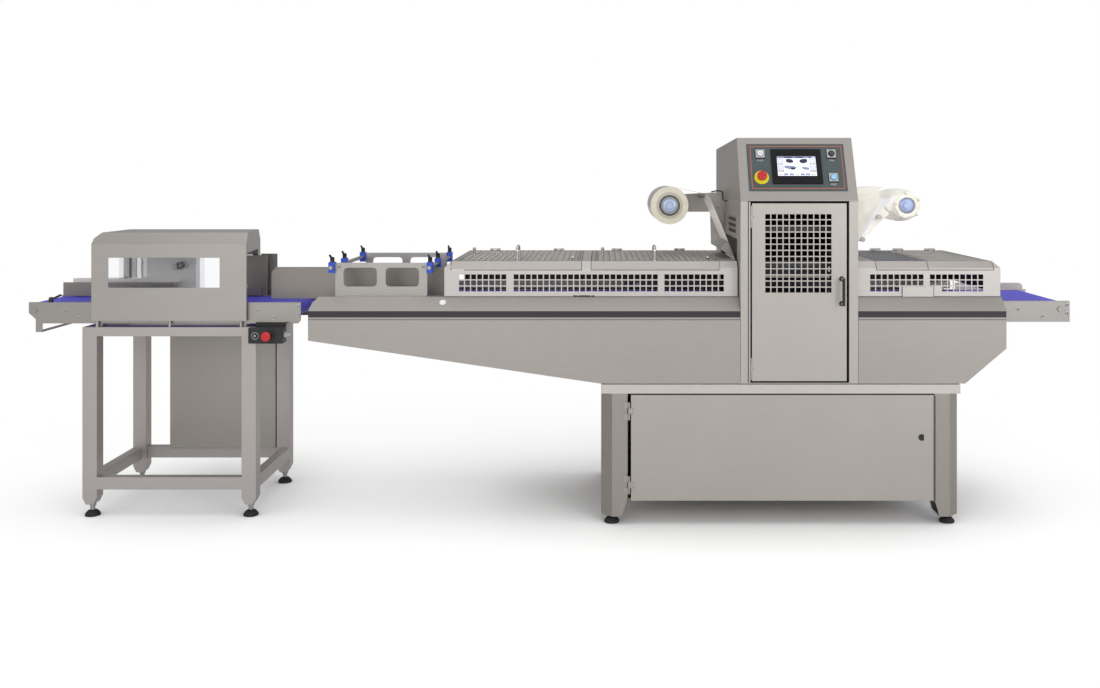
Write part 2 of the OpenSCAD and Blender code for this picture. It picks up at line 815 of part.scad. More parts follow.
module press_frame() placed() color(bright) difference() {
  union() {
    for (z = [[floor_z, yoke_t / 2], [yoke_z, yoke_t]])
      bar(-tool_l / 2, tool_l / 2, column_y[0] - yoke_edge, column_y[1] + yoke_edge, z[0], z[0] + z[1]);
    for (x = column_x, y = column_y) rod_z(floor_z, yoke_z + over, x, y, column_dia);
    for (side = [-1, 1]) {
      rod_y(column_y[0], column_y[1], side * idler_x, idler_z, idler_dia);
      for (y = column_y)
        bar(side * idler_x - idler_dia, side * idler_x + idler_dia, y - idler_dia / 2, y + idler_dia / 2,
          idler_z - idler_dia, idler_z + idler_dia);
    }
    rod_z(floor_z, lift_top_z, 0, lane_y, press_dia);
    rod_z(yoke_z, yoke_z + yoke_t + seal_h, 0, lane_y, press_dia);
  }
  rod_z(floor_z + yoke_t, lift_top_z + over, 0, lane_y, piston_dia + 2 * fit);
  rod_z(yoke_z - over, yoke_z + seal_h, 0, lane_y, piston_dia + 2 * fit);
}

module tool_plate(z) difference() {
  bar(-tool_l / 2, tool_l / 2, column_y[0] - tool_edge, column_y[1] + tool_edge, z, z + plate_d);
  for (x = column_x, y = column_y) rod_z(z - over, z + plate_d + over, x, y, column_dia + 2 * fit);
}

module tool_block(z0, z1)
  bar(-block_w / 2, block_w / 2, lane_y - block_d / 2, lane_y + block_d / 2, z0, z1);

// The lower tool carries four trays in two rows
module lower_tool() placed() color(bright) {
  tool_plate(plate_z);
  block_z = plate_z + plate_d + seat;
  difference() {
    tool_block(block_z, block_z + block_h);
    for (i = [-1, 1], j = [-1, 1])
      translate([i * (tray_w / 2 + tray_wall), lane_y + j * (tray_l / 2 + tray_wall), block_z + tray_floor_h])
        linear_extrude(block_h) polygon(rounded(-tray_w / 2, tray_w / 2, -tray_l / 2, tray_l / 2, tray_r));
  }
  rod_z(floor_z + yoke_t + seat, plate_z - seat, 0, lane_y, piston_dia);
}

tray_floor_h = 40;
tray_r = 12;

module sealing_head() placed() color(bright) {
  tool_plate(head_z);
  tool_block(head_z - head_block_h, head_z);
  rod_z(head_z + plate_d, yoke_z + yoke_t + seal_h / 2, 0, lane_y, piston_dia);
}

// A bar with a comb of fingers, on rods from the body's lip
module gripper() color(bright) {
  difference() {
    union() {
      bar(grip_x0, grip_x1, grip_y - grip_w, grip_y, grip_z, grip_z + grip_h);
      for (x = [grip_x0 + hole_pitch : 2 * hole_pitch : grip_x1 - hole_pitch])
        bar(x, x + hole_w, grip_y, grip_y + finger_l, grip_z, grip_z + finger_t);
    }
    for (x = grip_rod_x)
      rod_y(grip_y - grip_w - over, grip_y + over, x, grip_z + grip_h / 2, grip_rod_dia + 2 * fit);
  }
}

finger_l = 10;
finger_t = 4;

module front_gripper() placed() gripper();

module rear_gripper() placed() far_y() gripper();

// A leg in plan, its outer corner folded at a slant
module leg_outline(w, cut, t) {
  inner = cut + t * tan(22.5);
  difference() {
    polygon([[0, cut], [cut, 0], [w, 0], [w, w], [0, w]]);
    polygon([[t, inner], [inner, t], [w - t, t], [w - t, w - t], [t, w - t]]);
  }
}

// Places a leg at each corner of a frame
module at_corners(x0, x1, y0, y1) {
  for (side = [0, 1], end = [0, 1])
    translate([side ? x1 : x0, end ? y1 : y0, 0]) mirror([side, 0, 0]) mirror([0, end, 0]) children();
}

leg_cut_z = 111;
leg_toe = 21;
rail_w = 60;
plinth_in = 15;

module base_frame() placed() color([0.55, 0.53, 0.5]) {
  at_corners(base_x0, base_x1, base_y0, base_y1) difference() {
    union() {
      translate([0, 0, foot_top_z]) linear_extrude(sill_z - foot_top_z) leg_outline(leg_w, leg_chamfer, leg_t);
      translate([0, 0, foot_top_z]) linear_extrude(leg_t)
        polygon([[0, leg_chamfer], [leg_chamfer, 0], [leg_w, 0], [leg_w, leg_w], [0, leg_w]]);
    }
    along_y(-over, leg_w + over) polygon([
      [leg_w + over, leg_cut_z], [leg_w + over, 0], [leg_w - leg_toe, 0], [leg_w - leg_toe, foot_top_z]
    ]);
  }
  difference() {
    union() {
      bar(base_x0, base_x1, base_y0, base_y1, sill_z, base_top_z);
      bar(base_x0 + plinth_in, base_x1 - plinth_in, base_y0 + plinth_in, base_y1 - plinth_in,
        base_top_z, belly_z);
    }
    bar(base_x0 + rail_w, base_x1 - rail_w, base_y0 + rail_w, base_y1 - rail_w, 0, belly_z + over);
  }
}

wall_x0 = base_x0 + leg_w;
wall_x1 = base_x1 - leg_w;
wall_y0 = cab_door_t + cabinet_gap;

module base_cabinet() placed() color(steel) difference() {
  bar(wall_x0, wall_x1, wall_y0, base_y1 - leg_t, cabinet_z, sill_z);
  bar(wall_x0 + sheet, wall_x1 - sheet, 0, base_y1 - leg_t - sheet, cabinet_z + sheet,
    sill_z - sheet);
}

lock_inset = 50;
lock_share = 0.6;
lock_x = cabinet_x1 - lock_inset;
lock_z = cabinet_z + (cab_top_z - cabinet_z) * lock_share;
lock_dia = 26;
lock_pin_dia = 14;
lock_rise = 4;
cam_l = 32;

module cabinet_door() placed() color(steel) {
  difference() {
    bar(cabinet_x0, cabinet_x1, 0, cab_door_t, cabinet_z, cab_top_z);
    bar(cabinet_x0 + sheet, cabinet_x1 - sheet, sheet, cab_door_t + over, cabinet_z + sheet,
      cab_top_z - sheet);
    rod_y(-over, cab_door_t, lock_x, lock_z, lock_pin_dia + 2 * fit);
  }
  for (z = cab_zs) difference() {
    union() {
      rod_z(z - cab_l / 4, z + cab_l / 4, cab_x, cab_y, cab_dia);
      bar(cab_x, cabinet_x0 + cab_leaf_l, -cab_leaf_t, 0, z - cab_l / 4, z + cab_l / 4);
    }
    rod_z(z - cab_l, z + cab_l, cab_x, cab_y, cab_pin_dia + 2 * fit);
  }
}

cab_leaf_l = 14;
cab_leaf_t = 3;

module cabinet_lock() placed() color(bright) {
  difference() {
    rod_y(-lock_rise, -seat, lock_x, lock_z, lock_dia);
    bar(lock_x - lock_dia / 3, lock_x + lock_dia / 3, -lock_rise - over, -lock_rise / 2,
      lock_z - lock_rise / 2,
      lock_z + lock_rise / 2);
  }
  rod_y(-lock_rise / 2, cab_door_t, lock_x, lock_z, lock_pin_dia);
  bar(lock_x - lock_pin_dia / 2, lock_x + cam_l, sheet + lock_rise, sheet + 2 * lock_rise,
    lock_z - lock_pin_dia / 2, lock_z + lock_pin_dia / 2);
}

// Enclosure, air receiver on saddles and valve block
gear_z = cabinet_z + sheet;
gear_box = [420, 220, 320];
tank_dia = 170;
tank_l = 480;
saddles = [0.2, 0.8];
valves = 6;
valve_pitch = 40;
valve_w = 32;
valve_h = 51;

module control_gear() placed() color([0.8, 0.8, 0.78]) {
  bar(wall_x0 + tank_dia / 2, wall_x0 + tank_dia / 2 + gear_box[0], lane_y, lane_y + gear_box[1],
    gear_z, gear_z + gear_box[2]);
  tank_x0 = wall_x0 + tank_dia + gear_box[0];
  tank_z = gear_z + tank_dia / 2 + leg_t;
  rod_x(tank_x0, tank_x0 + tank_l, lane_y, tank_z, tank_dia);
  for (share = saddles)
    bar(tank_x0 + tank_l * share - leg_t, tank_x0 + tank_l * share + leg_t, lane_y - tank_dia / 2,
      lane_y + tank_dia / 2, gear_z, tank_z);
  for (i = [0:valves - 1])
    bar(tank_x0 + i * valve_pitch, tank_x0 + i * valve_pitch + valve_w, lane_y - tank_dia / 4,
      lane_y + tank_dia / 4,
      tank_z + tank_dia / 2 - leg_t, tank_z + tank_dia / 2 + valve_h);
}

// A gear motor on a back rail, in line with the roller
box_l = 70;
gearbox_d = 46;
gearbox_h = 56;
gearbox_end = 23;
gearbox_top = 14;
motor_dia = 62;
motor_core_dia = 54;
motor_gap = 2;
motor_y = motor_dia / 2 + motor_gap;
fins = 6;
fin_pitch = 25;
fin_w = 17;

module gear_motor(x, y, side) translate([x, y, roller_z]) mirror([side, 0, 0]) {
  start = box_l - gearbox_end;
  difference() {
    translate([-gearbox_end, 0, gearbox_top - gearbox_h]) cube([box_l, gearbox_d, gearbox_h]);
    rod_y(-over, gearbox_d / 2, 0, 0, shaft_dia + 2 * fit);
  }
  for (i = [0:fins - 1])
    rod_x(start + i * fin_pitch, start + i * fin_pitch + fin_w, motor_y, -gearbox_top, motor_dia);
  rod_x(start - over, start + fins * fin_pitch, motor_y, -gearbox_top, motor_core_dia);
}

infeed_end = 23;
roller_inset = 42;
in_roll_x = feed_x0 + infeed_end;
main_roll_x = main_x0 + roller_inset;
out_roll_x = out_x1 - roller_inset;

module drive_motors() placed() color([0.35, 0.38, 0.42]) {
  gear_motor(in_roll_x, in_y1, 0);
  gear_motor(main_roll_x, web_y1, 0);
  gear_motor(out_roll_x, web_y1, 1);
}

foot_2_z = 52;

module foot(top) rotate_extrude() polygon(concat(
  [[0, 0], [foot_dia / 2, 0], [foot_dia / 2, foot_rim_h]],
  arc(foot_dome_x, foot_rim_h, foot_pad_h - 2 * foot_neck_h, 30, 90),
  [[foot_stem_dia / 2, foot_pad_h], [foot_stem_dia / 2, top], [0, top]]));

module levelling_feet() placed() color(black) {
  at_corners(base_x0 + foot_inset, base_x1 - foot_inset, base_y0 + foot_inset,
    base_y1 - foot_inset) foot(foot_top_z);
  at_corners(stand_x0 + stand_foot_in, stand_x1 - stand_foot_in, stand_y0 + stand_foot_in,
    stand_y1 - stand_foot_in) foot(foot_2_z);
}

// A channel, open towards the belt
module rail_section(y) polygon([
  [y, rail_z0], [y + rail_d, rail_z0], [y + rail_d, rail_z0 + sheet], [y + sheet, rail_z0 + sheet],
  [y + sheet, rail_z1 - sheet], [y + rail_d, rail_z1 - sheet], [y + rail_d, rail_z1], [y, rail_z1]
]);

// Slider bed, ribs and fixed nose bar, between webs at y0 and y1
rib_t = 10;
module bed(roll_x, nose_x, y0, y1, ribs) {
  xa = min(roll_x, nose_x) + roller_r + rib_t;
  xb = max(roll_x, nose_x) - roller_r - rib_t;
  bed_y0 = y0 + rail_d + rail_gap;
  bed_y1 = y1 - rail_d - rail_gap;
  bar(xa, xb, bed_y0, bed_y1, roller_z + roller_r - bed_t, roller_z + roller_r);
  for (i = [0:ribs - 1]) {
    x = xa + (xb - xa) * (2 * i + 1) / (2 * ribs);
    bar(x - rib_t / 2, x + rib_t / 2, y0 + sheet, y1 - sheet, roller_z - rib_t, roller_z + roller_r - bed_t);
  }
  rod_y(y0 + sheet, y1 - sheet, nose_x, roller_z, shaft_dia);
  rod_y(bed_y0, bed_y1, nose_x, roller_z, roller_dia);
}

module belt_loop(xa, xb, y0, y1) along_y(y0, y1) difference() {
  polygon(loop(xa, xb, roller_z, belt_r));
  polygon(loop(xa, xb, roller_z, track_r));
}

// A roller from y0 to y1 in rails whose outer faces are at w0 and w1
module roller(x, y0, y1, w0, w1) {
  rod_y(y0, y1, x, roller_z, roller_dia);
  rod_y(w0 - shaft_rise, w1 + gearbox_d / 2 - shaft_rise, x, roller_z, shaft_dia);
}

module shaft_bore(x, w0, w1) rod_y(w0 - over, w1 + over, x, roller_z, shaft_dia + 2 * fit);

shaft_rise = 6;
web_y0 = belt_y0 - rail_gap - rail_d;
web_y1 = body_d - web_y0;
corner_r = 20;

// Screws on a rail, each [x, z] from the rail's end and the rollers' axis
module rail_screws(x, places, y) for (place = places) screw_front(x + place[0], y, roller_z + place[1],
  screw_dia);

end_screws = [[-11, 17], [-11, -18]];
outfeed_screws = [[112, 0], [216, -31]];
module_left_screws = [[152, 0], [210, -28]];
module_right_screws = [[-181, 0], [-113, -28]];

module main_conveyor() placed() color(bright) {
  difference() {
    mirrored_y() intersection() {
      along_x(main_x0, main_x1) rail_section(web_y0);
      along_y(0, lane_y) polygon(concat(
        [[main_x1, rail_z0], [main_x1, rail_z1]],
        arc(main_x0 + corner_r, rail_z1 - corner_r, corner_r, 90, 180),
        arc(main_x0 + corner_r, rail_z0 + corner_r, corner_r, 180, 270)));
    }
    shaft_bore(main_roll_x, web_y0, web_y1);
  }
  bed(main_roll_x, main_nose_x, web_y0, web_y1, 6);
  for (share = left_shares) cross_tube(body_x0 + (left_x - body_x0) * share);
}

module cross_tube(x) rod_y(sheet, body_d - sheet, x, rail_z0 - cross_tube_dia / 2, cross_tube_dia);

cross_tube_dia = 30;
left_shares = [0.12, 0.37, 0.62, 0.87];
right_shares = [0.3, 0.8];
nose_in = 32;
main_nose_x = main_x1 - nose_in;
out_nose_x = out_x0 + nose_in;

module main_belt() placed() color(belt_blue) belt_loop(main_roll_x, main_nose_x, belt_y0, belt_y1);

module main_roller() placed() color(bright)
  roller(main_roll_x, belt_y0, belt_y1, web_y0, web_y1);

back_rail_rise = 30;

module outfeed_conveyor() placed() color(bright) {
  difference() {
    union() {
      mirrored_y() along_x(out_x0, out_x1) rail_section(web_y0);
      along_y(web_y1 - sheet, web_y1) polygon(concat(
        [[body_x1 + sheet, rail_z1 - over], [out_x1 - rail_d, rail_z1 - over]],
        arc(out_x1 - rail_d - corner_r, rail_z1 + back_rail_rise - corner_r, corner_r, 0, 90),
        [[body_x1 + sheet, rail_z1 + back_rail_rise]]));
    }
    shaft_bore(out_roll_x, web_y0, web_y1);
  }
  bed(out_roll_x, out_nose_x, web_y0, web_y1, 5);
  rail_screws(body_x1, outfeed_screws, web_y0);
  rail_screws(out_x1, end_screws, web_y0);
  for (share = right_shares) cross_tube(right_x + (body_x1 - right_x) * share);
}

module outfeed_belt() placed() color(belt_blue) belt_loop(out_nose_x, out_roll_x, belt_y0, belt_y1);

module outfeed_roller() placed() color(bright)
  roller(out_roll_x, belt_y0, belt_y1, web_y0, web_y1);

in_nose_x = feed_x1 - roller_inset;
tab_share = 0.8;
tab_x0 = 29;
tab_x1 = 57;
tab_drop = 36;
infeed_corner = 12;

// Flanged plates with a tab under the left end
module infeed_conveyor() placed() color(bright) {
  difference() {
    union() for (side = [0, 1]) translate([0, side * (in_y0 + in_y1), 0]) mirror([0, side, 0]) {
      along_y(in_y0, in_y0 + sheet) polygon([
        [feed_x0, rail_z1], [feed_x0, rail_z1 - rail_h / 2], [feed_x0 + tab_x0, rail_z1 - rail_h * tab_share],
        [feed_x0 + tab_x0, rail_z0 - tab_drop], [feed_x0 + tab_x1, rail_z0 - tab_drop],
        [feed_x0 + tab_x1, rail_z0], [feed_x1 - infeed_corner, rail_z0],
        [feed_x1, rail_z0 + infeed_corner], [feed_x1, rail_z1]
      ]);
      bar(feed_x0, feed_x1, in_y0, in_y0 + rail_d, rail_z1 - sheet, rail_z1);
      bar(feed_x0 + tab_x1, feed_x1 - infeed_corner, in_y0, in_y0 + rail_d,
        rail_z0, rail_z0 + sheet);
    }
    shaft_bore(in_roll_x, in_y0, in_y1);
    rod_z(roller_z, rail_z1 + over, lever_x, lever_y, lever_pin_dia + 2 * fit);
  }
  bed(in_roll_x, in_nose_x, in_y0, in_y1, 5);
  for (x = [stand_x0 + rail_w, stand_x1 - rail_w], y = [in_y0, in_y1 - rail_d])
    bar(x - rail_d, x + rail_d, y, y + rail_d, stand_z, rail_z0);
  bar(feed_x0 + tab_x0, feed_x0 + tab_x1, in_y0 + sheet, in_y1 - sheet,
    rail_z0 - tab_drop, rail_z0 - tab_drop + sheet);
  rail_screws(feed_x0, module_left_screws, in_y0);
  rail_screws(feed_x1, concat(module_right_screws, end_screws), in_y0);
}

module infeed_belt() placed() color(belt_blue) belt_loop(in_roll_x, in_nose_x, in_belt_y0, in_belt_y1);

module infeed_roller() placed() color(bright)
  roller(in_roll_x, in_belt_y0, in_belt_y1, in_y0, in_y1);

// A guard's outer form, hipped at one end, smaller by an inset
module guard_form(x0, x1, hip, inset) {
  slack = inset * tan(22.5);
  bottom = inset > 0 ? deck_z - over : deck_z;
  c = guard_cut + slack;
  intersection() {
    along_x(x0 - over, x1 + over) polygon([
      [guard_y0 + inset, bottom], [guard_y0 + inset, roof_z - c], [guard_y0 + c, roof_z - inset],
      [guard_y1 - c, roof_z - inset], [guard_y1 - inset, roof_z - c], [guard_y1 - inset, bottom]
    ]);
    along_y(guard_y0 - over, guard_y1 + over) polygon(hip < 0
      ? [[x0 + inset, bottom], [x0 + inset, roof_z - c], [x0 + c, roof_z], [x1, roof_z], [x1, bottom]]
      : [[x0, bottom], [x0, roof_z], [x1 - c, roof_z], [x1 - inset, roof_z - c], [x1 - inset, bottom]]);
  }
}

grille_up = 22;
grille_z = deck_z + grille_up;

// A folded shell, open underneath and at the tower
module guard(x0, x1, hip, lids) {
  difference() {
    guard_form(x0, x1, hip, 0);
    guard_form(hip < 0 ? x0 : x0 - 2 * over, hip < 0 ? x1 + 2 * over : x1, hip, sheet);
    for (lid = lids)
      bar(lid[0] - lid_gap, lid[1] + lid_gap, guard_y0 - over, lid_y + lid_gap, wall_z, roof_z + over);
    end_x = hip < 0 ? x0 : x1;
    bar(end_x - guard_cut, end_x + guard_cut, ledge_y, body_d - ledge_y, deck_z - over, wall_z + lid_gap);
  }
  for (lid = lids) lid_hinges(lid[0], lid[1], 1);
}

// The middle third of a hinge is the lid's, its pin and outer thirds are the guard's
third = 16;
function lid_hinge_x(x0, x1) = [x0 + (x1 - x0) * hinge_part, x1 - (x1 - x0) * hinge_part];
hinge_part = 0.22;
leaf_t = 2;

module lid_hinges(x0, x1, fixed) for (x = lid_hinge_x(x0, x1)) {
  if (fixed) {
    rod_x(x - 1.5 * third, x + 1.5 * third, hinge_y, hinge_z, pin_dia);
    for (end = [-1, 1]) {
      xc = x + end * (third + seat);
      rod_x(xc - third / 2, xc + third / 2, hinge_y, hinge_z, hinge_dia);
      bar(xc - third / 2, xc + third / 2, hinge_y, hinge_y + hinge_dia, roof_z - over / 2, roof_z + leaf_t);
    }
  } else difference() {
    union() {
      rod_x(x - third / 2, x + third / 2, hinge_y, hinge_z, hinge_dia);
      bar(x - third / 2, x + third / 2, lid_y - hinge_dia, lid_y, roof_z - over / 2,
        roof_z + leaf_t);
      bar(x - third / 2, x + third / 2, lid_y - over, hinge_y, roof_z + seat, roof_z + leaf_t);
    }
    rod_x(x - third, x + third, hinge_y, hinge_z, pin_dia + 2 * fit);
  }
}

// Front grilles, each [distance from the left end, columns, rows, first row]
grilles_1 = [[61, 8, 3, 0], [287, 24, 3, 0], [910, 10, 3, 0]];
grilles_2 = [[58, 5, 1, 0], [58, 9, 2, 1], [305, 9, 2, 1], [355, 7, 1, 0]];

module grille_set(x0, grilles) for (g = grilles)
  along_y(guard_y0 - sheet, guard_y0 + 2 * sheet) hole_grid(x0 + g[0], grille_z + g[3] * hole_pitch, g[1],
    g[2]);

module left_guard() placed() color(steel) difference() {
  guard(guard_1_x0, guard_1_x1, -1, [[lid_1_x0, lid_1_x1], [lid_2_x0, lid_2_x1]]);
  grille_set(guard_1_x0, grilles_1);
}

outlet_slot_l = 40;
outlet_gap = 10;
hatch_inset = 190;
hatch_x0 = guard_2_x0 + hatch_inset;
hatch_l = 130;
hatch_h = 42;

module right_guard() placed() color(steel) {
  difference() {
    guard(guard_2_x0, guard_2_x1, 1, [[lid_3_x0, lid_3_x1], [lid_4_x0, lid_4_x1]]);
    grille_set(guard_2_x0, grilles_2);
    bar(guard_2_x0 - over, guard_2_x0 + outlet_slot_l, film_y0 - outlet_gap, film_y1 + outlet_gap,
      wall_z, roof_z + over);
  }
  bar(hatch_x0, hatch_x0 + hatch_l, guard_y0 - sheet, guard_y0, deck_z, deck_z + hatch_h);
}

lid_edge = 26;
lid_front_rim = 34;

// A perforated or plain roof with a chamfered front lip
module lid(x0, x1, holes) {
  slack = lid_t * tan(22.5);
  roof_y0 = guard_y0 + guard_cut;
  columns = floor((x1 - x0 - 2 * lid_edge + hole_pitch - hole_w) / hole_pitch);
  rows = floor((lid_y - roof_y0 - lid_front_rim - lid_edge) / hole_pitch);
  grid_x0 = (x0 + x1 - columns * hole_pitch + hole_pitch - hole_w) / 2;
  translate([0, 0, roof_z - lid_t]) linear_extrude(lid_t) difference() {
    translate([x0, roof_y0]) square([x1 - x0, lid_y - roof_y0]);
    if (holes) hole_grid(grid_x0, roof_y0 + lid_front_rim, columns, rows);
  }
  along_x(x0, x1) polygon([
    [roof_y0 + over, roof_z], [roof_y0, roof_z], [guard_y0, roof_z - guard_cut],
    [guard_y0, wall_z + lid_gap], [guard_y0 + lid_t, wall_z + lid_gap],
    [guard_y0 + lid_t, roof_z - guard_cut - slack], [roof_y0 + slack, roof_z - lid_t],
    [roof_y0 + over, roof_z - lid_t]
  ]);
  lid_hinges(x0, x1, 0);
}

bow_l = 96;
bow_h = 56;
bow_dia = 12;
bow_bend = 16;

// A bow handle along Y that stands on z
module bow_handle(x, y, z) translate([x, y, z]) {
  for (end = [0, 1]) mirror([0, end, 0]) {
    rod_z(0, bow_h - bow_bend, 0, -bow_l / 2, bow_dia);
    translate([0, -bow_l / 2 + bow_bend, bow_h - bow_bend]) rotate([0, 90, 0]) rotate([0, 0, 180])
      rotate_extrude(angle = 90) translate([bow_bend, 0]) circle(d = bow_dia);
  }
  rod_y(-bow_l / 2 + bow_bend, bow_l / 2 - bow_bend, 0, bow_h, bow_dia);
}

module lid_knob(x, y, height) translate([x, y, roof_z]) rotate_extrude() polygon(concat(
  [[0, 0], [knob_foot_r, 0], [knob_neck_r, knob_foot_h], [knob_neck_r, height - knob_head_h]],
  arc(0, height - knob_dia / 2, knob_dia / 2, -35, 90)));

bow_inset = 106;
handle_y = guard_y0 + bow_inset;
post_at = [48, 68];
knob_dia = 16;
knob_foot_r = 7.2;
knob_foot_h = 2.4;
knob_neck_r = 4.8;
knob_head_h = 12.8;
knob_h = 16;
post_h = 33;

module lid_fittings(x0, x1) {
  bow_handle((x0 + x1) / 2, handle_y, roof_z);
  lid_knob(x0 + post_at[0], lane_y + post_at[1], post_h);
  lid_knob(x1 - 3 * lid_edge / 2, handle_y, knob_h);
}

module left_lid(x0, x1) placed() color(steel) {
  lid(x0, x1, true);
  lid_fittings(x0, x1);
}

module left_lid_1() left_lid(lid_1_x0, lid_1_x1);

module left_lid_2() left_lid(lid_2_x0, lid_2_x1);

module right_lid_1() placed() color([0.8, 0.85, 0.9, 0.5]) lid(lid_3_x0, lid_3_x1, false);

module right_lid_2() placed() color(steel) lid(lid_4_x0, lid_4_x1, true);

// The web's stops, each [x, z, radius], with a plus sign on the web's right
film_t = 0.4;
idler_dia = 12;
idler_gap = 5;
idler_x = tool_l / 2 + idler_gap;
seal_z = plate_z + plate_d + block_h + tool_lift + 2 * seat;
idler_z = seal_z + film_t + seat + idler_dia / 2;
edge_at = [23, 73];
guide_edge = [left_x - edge_at[0], roof_z + edge_at[1]];
web_stops = [
  [unwind_x, reel_z, film_roll_r],
  [film_bar_x, film_bar_z, bar_dia / 2],
  [guide_edge[0], guide_edge[1], seat],
  [-idler_x, idler_z, -idler_dia / 2],
  [idler_x, idler_z, -idler_dia / 2],
  [low_bar_x, low_bar_z, bar_dia / 2],
  [scrap_bar_x, scrap_bar_z, bar_dia / 2],
  [rewind_x, reel_z, scrap_roll_r]
];

// The web's middle, from the axis of a stop
function web_r(stop) = stop[2] + sign(stop[2]) * (seat + film_t / 2);

function web_turn(a, b) = atan2(b[1] - a[1], b[0] - a[0])
  + acos((web_r(a) - web_r(b)) / norm([b[0] - a[0], b[1] - a[1]]));

// One side of the web, a shift away from its middle
function web_side(shift) = [
  for (i = [0:len(web_stops) - 1], k = [0:web_steps])
    let (
      stop = web_stops[i],
      last = len(web_stops) - 1,
      a0 = web_turn(web_stops[max(i - 1, 0)], web_stops[max(i, 1)]),
      a1 = web_turn(web_stops[min(i, last - 1)], web_stops[min(i + 1, last)]),
      turn = a0 + (a1 - a0) * k / web_steps,
      r = web_r(stop) + shift
    )
    if (k == 0 || (i > 0 && i < last)) [stop[0] + r * cos(turn), stop[1] + r * sin(turn)]
];
web_steps = 4;

module film_webs() placed() color([0.9, 0.87, 0.76]) along_y(film_y0, film_y1) {
  left = web_side(film_t / 2);
  right = web_side(-film_t / 2);
  polygon(concat(left, [for (i = [len(right) - 1:-1:0]) right[i]]));
}

hub_r = 39;
arm_rise = 52;
arm_top_z = reel_z + arm_rise;
arm_low_z = reel_z - hub_r;
arm_flange_t = 4;
arm_flange_w = 30;
guide_lap = 10;
gusset = [36, 40, 50];
guide_back = [34, 32];
guide_root_h = 56;

// Two arm plates with the guide bars and the film's edge guide
module reel_arms() placed() color(bright) {
  along_y(arm_y0, arm_y0 + arm_t) {
    difference() {
      polygon(concat(
        [[left_x, arm_top_z], [left_x, roof_z + guide_lap / 2],
          [guide_edge[0] - gusset[0], roof_z + gusset[1]], [film_bar_x + gusset[2], arm_low_z]],
        arc(unwind_x, reel_z, hub_r, 270, 90)));
      translate([unwind_x, reel_z]) circle(d = mandrel_dia + 2 * fit);
    }
    difference() {
      polygon(concat(
        [[right_x, arm_low_z], [right_x, arm_top_z]],
        arc(rewind_x, reel_z, hub_r, 90, -70),
        [[scrap_bar_x + bar_dia, scrap_bar_z - bar_dia],
          [low_bar_x + bar_dia, low_bar_z - bar_dia],
          [low_bar_x - bar_dia, low_bar_z - bar_dia],
          [low_bar_x - bar_dia, low_bar_z + bar_dia]]));
      translate([rewind_x, reel_z]) circle(d = mandrel_dia + 2 * fit);
    }
  }
  bar(left_x - arm_flange_t, left_x, arm_y0 - arm_flange_w, arm_y0 + arm_t + arm_flange_w, arm_low_z,
    arm_top_z);
  bar(right_x, right_x + arm_flange_t, arm_y0 - arm_flange_w, arm_y0 + arm_t + arm_flange_w, arm_low_z,
    arm_top_z);
  for (place = [[film_bar_x, film_bar_z], [scrap_bar_x, scrap_bar_z], [low_bar_x, low_bar_z]])
    rod_y(film_y0 - guide_lap, arm_y0 + over, place[0], place[1], bar_dia);
  along_y(film_y0 - guide_lap, arm_y0 + over) polygon([
    guide_edge, guide_edge - guide_back, [left_x - arm_flange_t, roof_z + guide_lap / 2],
    [left_x - arm_flange_t, guide_edge[1] - guide_root_h]
  ]);
}

disc_t = 8;
core_r = 48;
disc_gap = 6;

// Mandrel, front disc and collars
module arbor(x) {
  rod_y(film_y0 - disc_gap - disc_t, film_y0 - disc_gap, x, reel_z, 2 * reel_disc_r);
  rod_y(film_y0 - 2 * disc_gap - disc_t, arm_y0 + arm_t + disc_t, x, reel_z, mandrel_dia);
  rod_y(film_y1 - over, arm_y0 - seat, x, reel_z, 2 * mandrel_dia);
  rod_y(arm_y0 + arm_t + seat, arm_y0 + arm_t + disc_t, x, reel_z, 3 * mandrel_dia / 2);
}

module film_reel() placed() color([0.93, 0.9, 0.8]) {
  rod_y(film_y0, film_y1, unwind_x, reel_z, 2 * film_roll_r);
  rod_y(film_y0 - disc_gap / 2, film_y0 + over, unwind_x, reel_z, 2 * core_r);
  arbor(unwind_x);
}

cage_rods = 5;
cage_step = 360 / cage_rods;
cage_r = 53;
cage_dia = 10;
cage_reach = 26;

module scrap_rewinder() placed() color([0.93, 0.93, 0.94]) {
  translate([rewind_x, film_y0, reel_z]) rotate([-90, 0, 0]) rotate_extrude() polygon([
    [0, 0], [scrap_roll_r - disc_t, 0], [scrap_roll_r - disc_t / 4, film_w / 8], [scrap_roll_r, film_w / 3],
    [scrap_roll_r, film_w * 2 / 3], [scrap_roll_r - disc_t / 4, film_w * 7 / 8], [scrap_roll_r - disc_t,
      film_w],
    [0, film_w]
  ]);
  for (i = [0:cage_rods - 1])
    rod_y(film_y0 - cage_reach, film_y0 + over, rewind_x + cage_r * sin(cage_turn + i * cage_step),
      reel_z + cage_r * cos(cage_turn + i * cage_step), cage_dia);
  arbor(rewind_x);
}
cage_turn = -10;

window_w = 138;
window_rise = 39;
window_z0 = deck_z + window_rise;
window_h = 78;
window_r = 17;
station_edge = 35;

module station_plate(y, flange_y0, flange_y1) {
  gap = station_l - 2 * (window_w + station_edge);
  along_y(y, y + station_t) difference() {
    translate([station_x0, deck_z]) square([station_l, station_h]);
    for (side = [0, 1])
      translate([station_x0 + station_edge + side * (window_w + gap), window_z0])
        polygon(rounded(0, window_w, 0, window_h, window_r));
  }
  bar(station_x0, station_x1, flange_y0, flange_y1, deck_z, deck_z + sheet);
}

rod_reach = 32;

